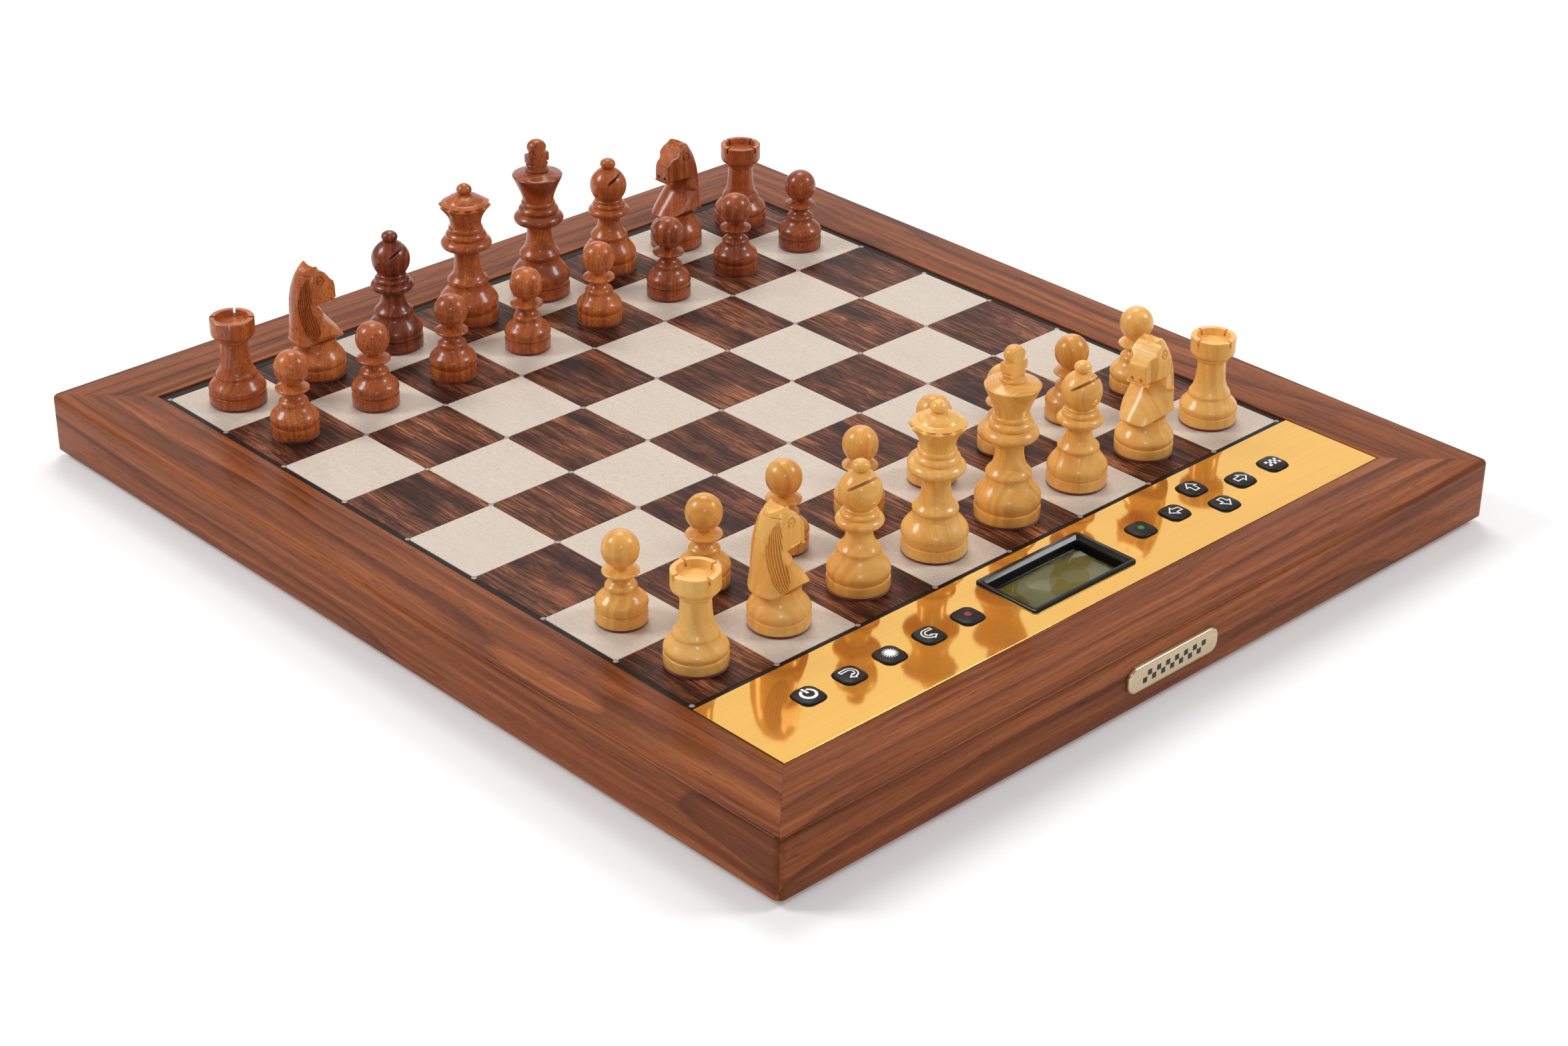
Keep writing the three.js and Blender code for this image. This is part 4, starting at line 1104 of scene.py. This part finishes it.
# The knight's head faces +x here, with heights above the playing surface. It is carved from a
# round blank, so that its back and mane stay round, and then given its face, ears and chest. BLANK
# gives its radius by height, and the two widths half its breadth. The mane's back and front are
# angles from the back of the head by height, and its top and foot heights by the share between them.
VOXEL = 0.19
BLANK = [(14.0, 8.8), (14.5, 10.3), (14.9, 10.7), (15.6, 10.7), (17, 10.4), (20, 10.0), (25, 9.7), (31, 9.4),
         (35, 8.8), (38, 8.0), (40, 7.3), (41.5, 6.6), (42.6, 6.0), (44, 5.2), (45.4, 4.1), (47, 3.4)]
HEAD_OUTLINE = [(-13, 13), (11.6, 13), (11.2, 14.6), (10.9, 15.2), (8.2, 18.8), (0.9, 27.3), (0.1, 28.2),
                (-0.8, 29.3), (-1.5, 30.2), (-1.3, 30.8), (0.8, 31.05), (3.0, 31.3), (4.2, 30.8), (5.4, 30.1),
                (7.0, 29.1), (7.5, 29.5), (7.7, 31.0), (7.7, 36.6), (7.4, 37.4), (6.0, 38.7), (4.4, 40.3),
                (3.2, 41.6), (2.2, 43.0), (1.2, 43.6), (0.0, 44.2), (-0.5, 46.4), (-13, 46.4)]
FACE_WIDTH = [(29, 4.4), (31.5, 4.2), (37.3, 4.0), (38.8, 3.9), (40.3, 4.5), (41.4, 5.4), (43, 5.5),
              (46, 5.0)]
CHEEK_WIDTH = [(27, 6.2), (38, 6.2), (41, 6.0), (43, 5.6), (46, 5.0)]
MANE_BACK = [(16.4, 50), (20, 34), (25.7, 21.5), (30.1, 15.5), (33.9, 14.8), (42, 14)]
MANE_FRONT = [(17, 75), (21, 68.5), (25, 64), (30.7, 57), (38.1, 46.4), (41.9, 40.8), (43, 39)]
MANE_TOP = [(0, 34), (0.12, 37.3), (0.4, 40.2), (0.7, 41.3), (1, 42)]
MANE_FOOT = [(0, 16.4), (0.5, 17.2), (0.9, 20.5), (1, 30.7)]
MANE_CUTS = 8
NECK_SCOOP = 1.1
MANE_DEPTH = 0.95
EYE = (-0.7, 40.4, 1.45, 1.6)  # where it is in x and z, and its half sizes
FAR_MANE = 10.0  # how much further round the mane starts on its left side


def table(value, rows):
    return np.interp(value, [row[0] for row in rows], [row[1] for row in rows])


def outline_distance(x, z, outline):
    """Signed distance from points of a plane to a closed outline, negative inside."""
    near = np.full(x.shape, 1e9)
    inside = np.zeros(x.shape, bool)
    for (ax, az), (bx, bz) in zip(outline, outline[1:] + outline[:1]):
        ex, ez = bx - ax, bz - az
        share = np.clip(((x - ax) * ex + (z - az) * ez) / (ex * ex + ez * ez), 0, 1)
        near = np.minimum(near, np.hypot(x - ax - share * ex, z - az - share * ez))
        crosses = (az > z) != (bz > z)
        inside ^= crosses & (x < ax + (z - az) * ex / (ez if ez else 1e-9))
    return np.where(inside, -near, near)


def engrave(field, mark, depth):
    """Cuts a mark, positive inside it, to a depth below the surface."""
    return np.maximum(field, np.minimum(mark, field + depth))


def knight_field(x, y, z):
    """Distance to the knight's surface, roughly, and negative inside."""
    far = np.where(y > 0, FAR_MANE, 0.0)
    y = np.abs(y)
    r = np.hypot(x, y)
    turn = np.degrees(np.arctan2(y, -x))
    back, front = table(z, MANE_BACK) + far, table(z, MANE_FRONT)
    share = (turn - back) / (front - back)
    row = np.clip(share, 0, 1)
    wave = (0.5 + 0.5 * np.cos(2 * np.pi * (MANE_CUTS - 1) * share)) ** 2.2
    ends = np.clip((table(row, MANE_TOP) - z) / 0.6, 0, 1) * np.clip((z - table(row, MANE_FOOT)) / 0.6, 0, 1)
    wave = wave * ends * (np.abs(share - 0.5) < 0.5 + 0.5 / (MANE_CUTS - 1))
    scoop = np.exp(-(((turn - 102) / 24) ** 2) - ((z - 24) / 5.5) ** 2)
    field = (r - table(z, BLANK) + MANE_DEPTH * wave + NECK_SCOOP * scoop) * 0.95
    side = outline_distance(x[:, :1, :], z[:, :1, :], HEAD_OUTLINE)
    field = np.maximum(field, side + 0.06 * y * y * np.clip((29.5 - z) / 4, 0, 1))
    bend = np.clip((x - 3.2) / 1.7, 0, 1)
    bend = bend * bend * (3 - 2 * bend)
    width = table(z, CHEEK_WIDTH) * (1 - bend) + table(z, FACE_WIDTH) * bend
    neck = np.clip((-5.0 - x) / 3.0, 0, 1) * 3
    flat = np.where(z > 27, (y - width - neck - 0.35 * np.clip(31 - z, 0, 4)) * 0.95, -9)
    field = 0.5 * (field + flat + np.sqrt((field - flat) ** 2 + 0.3 ** 2))
    jaw = np.interp(x, [-1, 3.0, 3.4, 4.4], [30.9, 31.3, 30.6, 29.2])
    facet = 0.72 * (x - 0.9) + 0.37 * (y - 4.3) + 0.587 * (z - 27.3)
    field = np.maximum(field, np.minimum(facet, jaw - z))
    saddle = 43.3 + 2.5 * np.clip((y - 0.4) / 3.3, 0, 1)
    ridge = 43.9 + 1.8 * np.clip(y / 3.7, 0, 1) ** 1.6
    lift = np.clip((-1.6 - x) / 0.8, 0, 1)
    field = np.maximum(field, (z - (saddle * (1 - lift) + ridge * lift)) * 0.8)
    nostril = 0.7 - np.hypot(y - 1.9, z - 31.7)
    field = np.maximum(field, np.minimum(nostril, x - 6.3))
    field = engrave(field, np.where(x > 4.6, 0.2 - np.abs(z - 30.5), -1), 0.45)
    field = engrave(field, np.where(turn < 48, 0.18 - np.abs(z - 42.6), -1), 0.45)
    eye = np.hypot((x - EYE[0]) / EYE[2], (z - EYE[1]) / EYE[3])
    cheek = y > 3
    field = engrave(field, np.where(cheek, 0.26 - np.abs(eye - 1) * 1.3, -1), 0.6)
    field = engrave(field, np.where(cheek, 0.36 - eye * 1.3, -1), 0.7)
    return engrave(field, np.where(y > 4, 0.4 - np.hypot(x + 1.2, z - 31.0), -1), 1.0)


def surface_net(field, origin, step):
    """The zero surface of a field on a grid, as points and faces of four corners."""
    inside = field < 0
    cells = tuple(n - 1 for n in field.shape)
    counts = np.zeros(cells, np.int32)
    corners = [(i, j, k) for i in (0, 1) for j in (0, 1) for k in (0, 1)]

    def part(values, corner):
        i, j, k = corner
        return values[i : i + cells[0], j : j + cells[1], k : k + cells[2]]

    for corner in corners:
        counts += part(inside, corner)
    mixed = (counts > 0) & (counts < 8)
    number = np.full(cells, -1, np.int64)
    number[mixed] = np.arange(mixed.sum())
    spots = np.argwhere(mixed).astype(float)
    total = np.zeros((len(spots), 3))
    hits = np.zeros(len(spots))
    for a in corners:
        for axis in range(3):
            if a[axis]:
                continue
            b = tuple(1 if n == axis else a[n] for n in range(3))
            fa, fb = part(field, a)[mixed], part(field, b)[mixed]
            crossed = (fa < 0) != (fb < 0)
            share = np.where(crossed, fa / np.where(crossed, fa - fb, 1), 0)
            point = np.array(a, float) + share[:, None] * np.eye(3)[axis]
            total += point * crossed[:, None]
            hits += crossed
    points = (spots + total / hits[:, None]) * step + origin
    faces = []
    for axis in range(3):
        u, v = [n for n in range(3) if n != axis]
        near = [slice(1, -1)] * 3
        near[axis] = slice(0, -1)
        far = list(near)
        far[axis] = slice(1, None)
        a, b = inside[tuple(near)], inside[tuple(far)]
        for start, flip in ((a & ~b, axis == 1), (~a & b, axis != 1)):
            spot = np.argwhere(start)
            spot[:, [u, v]] += 1
            ring = []
            for du, dv in ((0, 0), (-1, 0), (-1, -1), (0, -1)):
                cell = spot.copy()
                cell[:, u] += du
                cell[:, v] += dv
                ring.append(number[cell[:, 0], cell[:, 1], cell[:, 2]])
            faces.append(np.stack(ring[::-1] if flip else ring, 1))
    return points, np.concatenate(faces)


def carve_knight():
    low, high = np.array([-11.4, -11.4, 13.6]), np.array([11.6, 11.4, 47.0])
    sides = [np.arange(low[n], high[n], VOXEL) for n in range(3)]
    x, y, z = np.meshgrid(*sides, indexing="ij")
    return surface_net(knight_field(x, y, z), low, VOXEL)


KNIGHT_POINTS, KNIGHT_FACES = carve_knight()
KNIGHT_TURN = {"light_knight_b": 3, "light_knight_g": 186, "dark_knight_b": 2, "dark_knight_g": 180}
ROOK_TURN = {"light_rook_a": -10, "light_rook_h": -3, "dark_rook_a": 48, "dark_rook_h": 5}
BISHOP_TURN = {"light": 4, "dark": 45}
BISHOP_TILT = math.radians(34.7)
# How much paler or darker than the rest each man's wood is.
TONE = {"light_rook_a": 0.2, "light_knight_b": 0.1, "light_queen": 0.15, "light_king": -0.1,
        "light_knight_g": 0.15, "light_rook_h": 0.2, "light_pawn_a": -0.1, "light_pawn_b": -0.2,
        "light_pawn_c": -0.3, "light_pawn_d": -0.1, "light_pawn_g": -0.35, "light_pawn_h": 0.1,
        "dark_knight_b": 0.3, "dark_bishop_c": -0.35, "dark_queen": 0.1, "dark_king": -0.1,
        "dark_bishop_f": 0.1, "dark_pawn_a": 0.15, "dark_pawn_d": 0.15, "dark_pawn_e": 0.2,
        "dark_pawn_f": -0.2, "dark_pawn_g": -0.1, "dark_pawn_h": -0.2}
SHAPES = {"pawn": PAWN, "rook": ROOK, "bishop": BISHOP, "queen": QUEEN, "king": KING, "knight": KNIGHT_BASE}


def make_man(node):
    colour, kind = node.split("_")[:2]
    centre = node_middle(node)
    seat = (*centre, SEAT)
    wood = BOXWOOD if colour == "light" else ROSEWOOD
    pith = man_pith()
    points, faces = lathe(profile(SHAPES[kind], 3), SEGMENTS, centre, SEAT)
    solids = [(scallop(points, centre) if kind == "queen" else points, faces)]
    if kind == "king":
        solids.append(finial_cross(centre))
    if kind == "knight":
        head = turned(KNIGHT_POINTS.tolist(), math.radians(KNIGHT_TURN[node]), seat)
        solids.append((head, KNIGHT_FACES.tolist()))
    shape = Shell()
    for points, faces in solids:
        shape.add(points, faces, man_wood(points, centre, pith))
    made = shape.piece("turned_" + node, wood, body=node,
                       slot="boxwood" if colour == "light" else "rosewood", replaces=[node],
                       tone=TONE.get(node, 0.0))
    if kind == "rook":
        cutter, faces = box_solid((-12, -0.5, 32.8), (12, 0.5, 36))
        for quarter_turn in (0, 90):
            cut_away(made, turned(cutter, math.radians(ROOK_TURN[node] + quarter_turn), seat), faces)
    if kind == "bishop":
        c, s = math.cos(BISHOP_TILT), math.sin(BISHOP_TILT)
        cutter, faces = box_solid((-9, -12, -0.48), (9, -1.8, 0.48))
        cutter = [(x, 0.97 + c * y + s * z, 38.3 - s * y + c * z) for x, y, z in cutter]
        cut_away(made, turned(cutter, math.radians(BISHOP_TURN[colour]), seat), faces)
    rim = SHAPES[kind][0][0][1]
    felt_disc(node, centre, rim + 0.3)


for man in frame["bodies"]:
    if man.startswith(("light_", "dark_")):
        make_man(man)

# ------------------------------------------------------------------ underside and the back
for foot in ("foot_front_left", "foot_front_right", "foot_back_left", "foot_back_right"):
    spot, top = node_middle(foot), node_box(foot)[1][2]
    pad = [(1.4, 0), (1.4, 2.2), (0.15, 2.2), (0.0, 2.35), (0.0, 5.3), (0.15, 5.6), (0.7, 6.6), (1.2, 6.9),
           (top - 0.2, 7.0), (top, 6.9), (top, 0)]
    points, faces = lathe(pad, 48, spot)
    piece("pad_" + foot, points, faces, RUBBER, slot="foot_rubber", replaces=[foot], sharp=30)
    head = [(0.35, 0), (0.35, 0.4), (0.6, 0.9), (0.75, 1.7), (1.35, 1.9), (1.38, 0)]
    points, faces = lathe(head, 32, spot)
    piece("screw_" + foot, points, faces, STEEL, slot="foot_rubber")

socket = Shell()
barrel = [(0, 0), (0, jack_radius), (11.8, jack_radius), (12, jack_radius - 0.2), (12, 3.4), (11.7, 3.1),
          (3, 3.0), (3, 0)]
points, faces = lathe(barrel, 48)
socket.add(facing_back(points, jack_low[1]), faces)
socket.piece("power_jack", BLACK_GLOSS, slot="socket_black", replaces=["power_socket"])
points, faces = lathe([(2.5, 0), (2.5, 1.0), (10.6, 1.0), (11, 0.6), (11.1, 0)], 24)
piece("power_pin", facing_back(points, jack_low[1]), faces, STEEL, slot="socket_black")

for node, material in (("base_panel", PANEL), ("main_board", CIRCUIT)):
    cad = frame["nodes"][node]
    cad.data.materials.clear()
    cad.data.materials.append(material)

# --------------------------------------------------------------------- stage and camera
FLOOR_GLOW = 0.12
WORLD_LIGHT = 0.33
floor_mesh = bpy.data.meshes.new("floor")
floor_mesh.from_pydata([(-6, -6, 0), (6, -6, 0), (6, 6, 0), (-6, 6, 0)], [], [(0, 1, 2, 3)])
floor = bpy.data.objects.new("floor", floor_mesh)
bpy.context.scene.collection.objects.link(floor)
floor_finish = Finish("studio_floor", Base_Color=(0.9, 0.9, 0.9, 1), Roughness=0.9,
                      Specular_IOR_Level=0.0, Emission_Color=(1, 1, 1, 1), Emission_Strength=FLOOR_GLOW)
floor.data.materials.append(floor_finish.material)

world = bpy.data.worlds.new("studio")
bpy.context.scene.world = world
world.use_nodes = True
sky = world.node_tree.nodes["Background"]
sky.inputs["Color"].default_value = (1, 1, 1, 1)
sky.inputs["Strength"].default_value = WORLD_LIGHT


def softbox(name, place, aim, size, power):
    light = bpy.data.lights.new(name, "AREA")
    light.shape, light.size, light.size_y, light.energy = "RECTANGLE", size[0], size[1], power
    made = bpy.data.objects.new(name, light)
    made.location = place
    made.rotation_euler = (Vector(aim) - Vector(place)).to_track_quat("-Z", "Y").to_euler()
    bpy.context.scene.collection.objects.link(made)


softbox("key_light", (-1.2, 1.05, 1.35), (0, 0, 0.03), (0.6, 0.6), 18)
softbox("fill_light", (1.1, -1.0, 1.25), (0, 0, 0.03), (0.5, 0.5), 12)
softbox("front_light", (-1.0, -1.3, 1.0), (0, 0, 0.03), (0.3, 0.3), 3)
softbox("top_light", (0.6, 0.8, 1.9), (0, 0, 0.03), (0.8, 0.8), 14)
softbox("back_panel", (1.5, 1.9, 1.0), (0, 0, 0.1), (2.6, 1.5), 10)

# Camera: seen from the front left, above the board. The stand is in squares from the field's centre.
STAND = (-18.550, -20.318, 13.788)
AZIMUTH, ELEVATION, ROLL = math.radians(-43.751), math.radians(28.763), math.radians(0.552)
LENS_LENGTH = 69.08
camera = bpy.data.objects.new("camera", bpy.data.cameras.new("camera"))
camera.data.lens = LENS_LENGTH
camera.data.sensor_width = 36
backward = Vector((math.sin(AZIMUTH) * math.cos(ELEVATION), -math.cos(AZIMUTH) * math.cos(ELEVATION),
                   math.sin(ELEVATION)))
level = Vector((0, 0, 1)).cross(backward).normalized()
upward = backward.cross(level)
across = math.cos(ROLL) * level + math.sin(ROLL) * upward
upright = -math.sin(ROLL) * level + math.cos(ROLL) * upward
field_centre = Vector((0, FIELD_FRONT + 4 * SQUARE, BOARD_TOP))
axes = Matrix((across, upright, backward)).transposed().to_4x4()
camera.matrix_world = Matrix.Translation((field_centre + SQUARE * Vector(STAND)) * MM) @ axes
camera.data.clip_start, camera.data.clip_end = 0.05, 20
bpy.context.scene.collection.objects.link(camera)
bpy.context.scene.camera = camera
bpy.context.scene.view_settings.view_transform = "Standard"
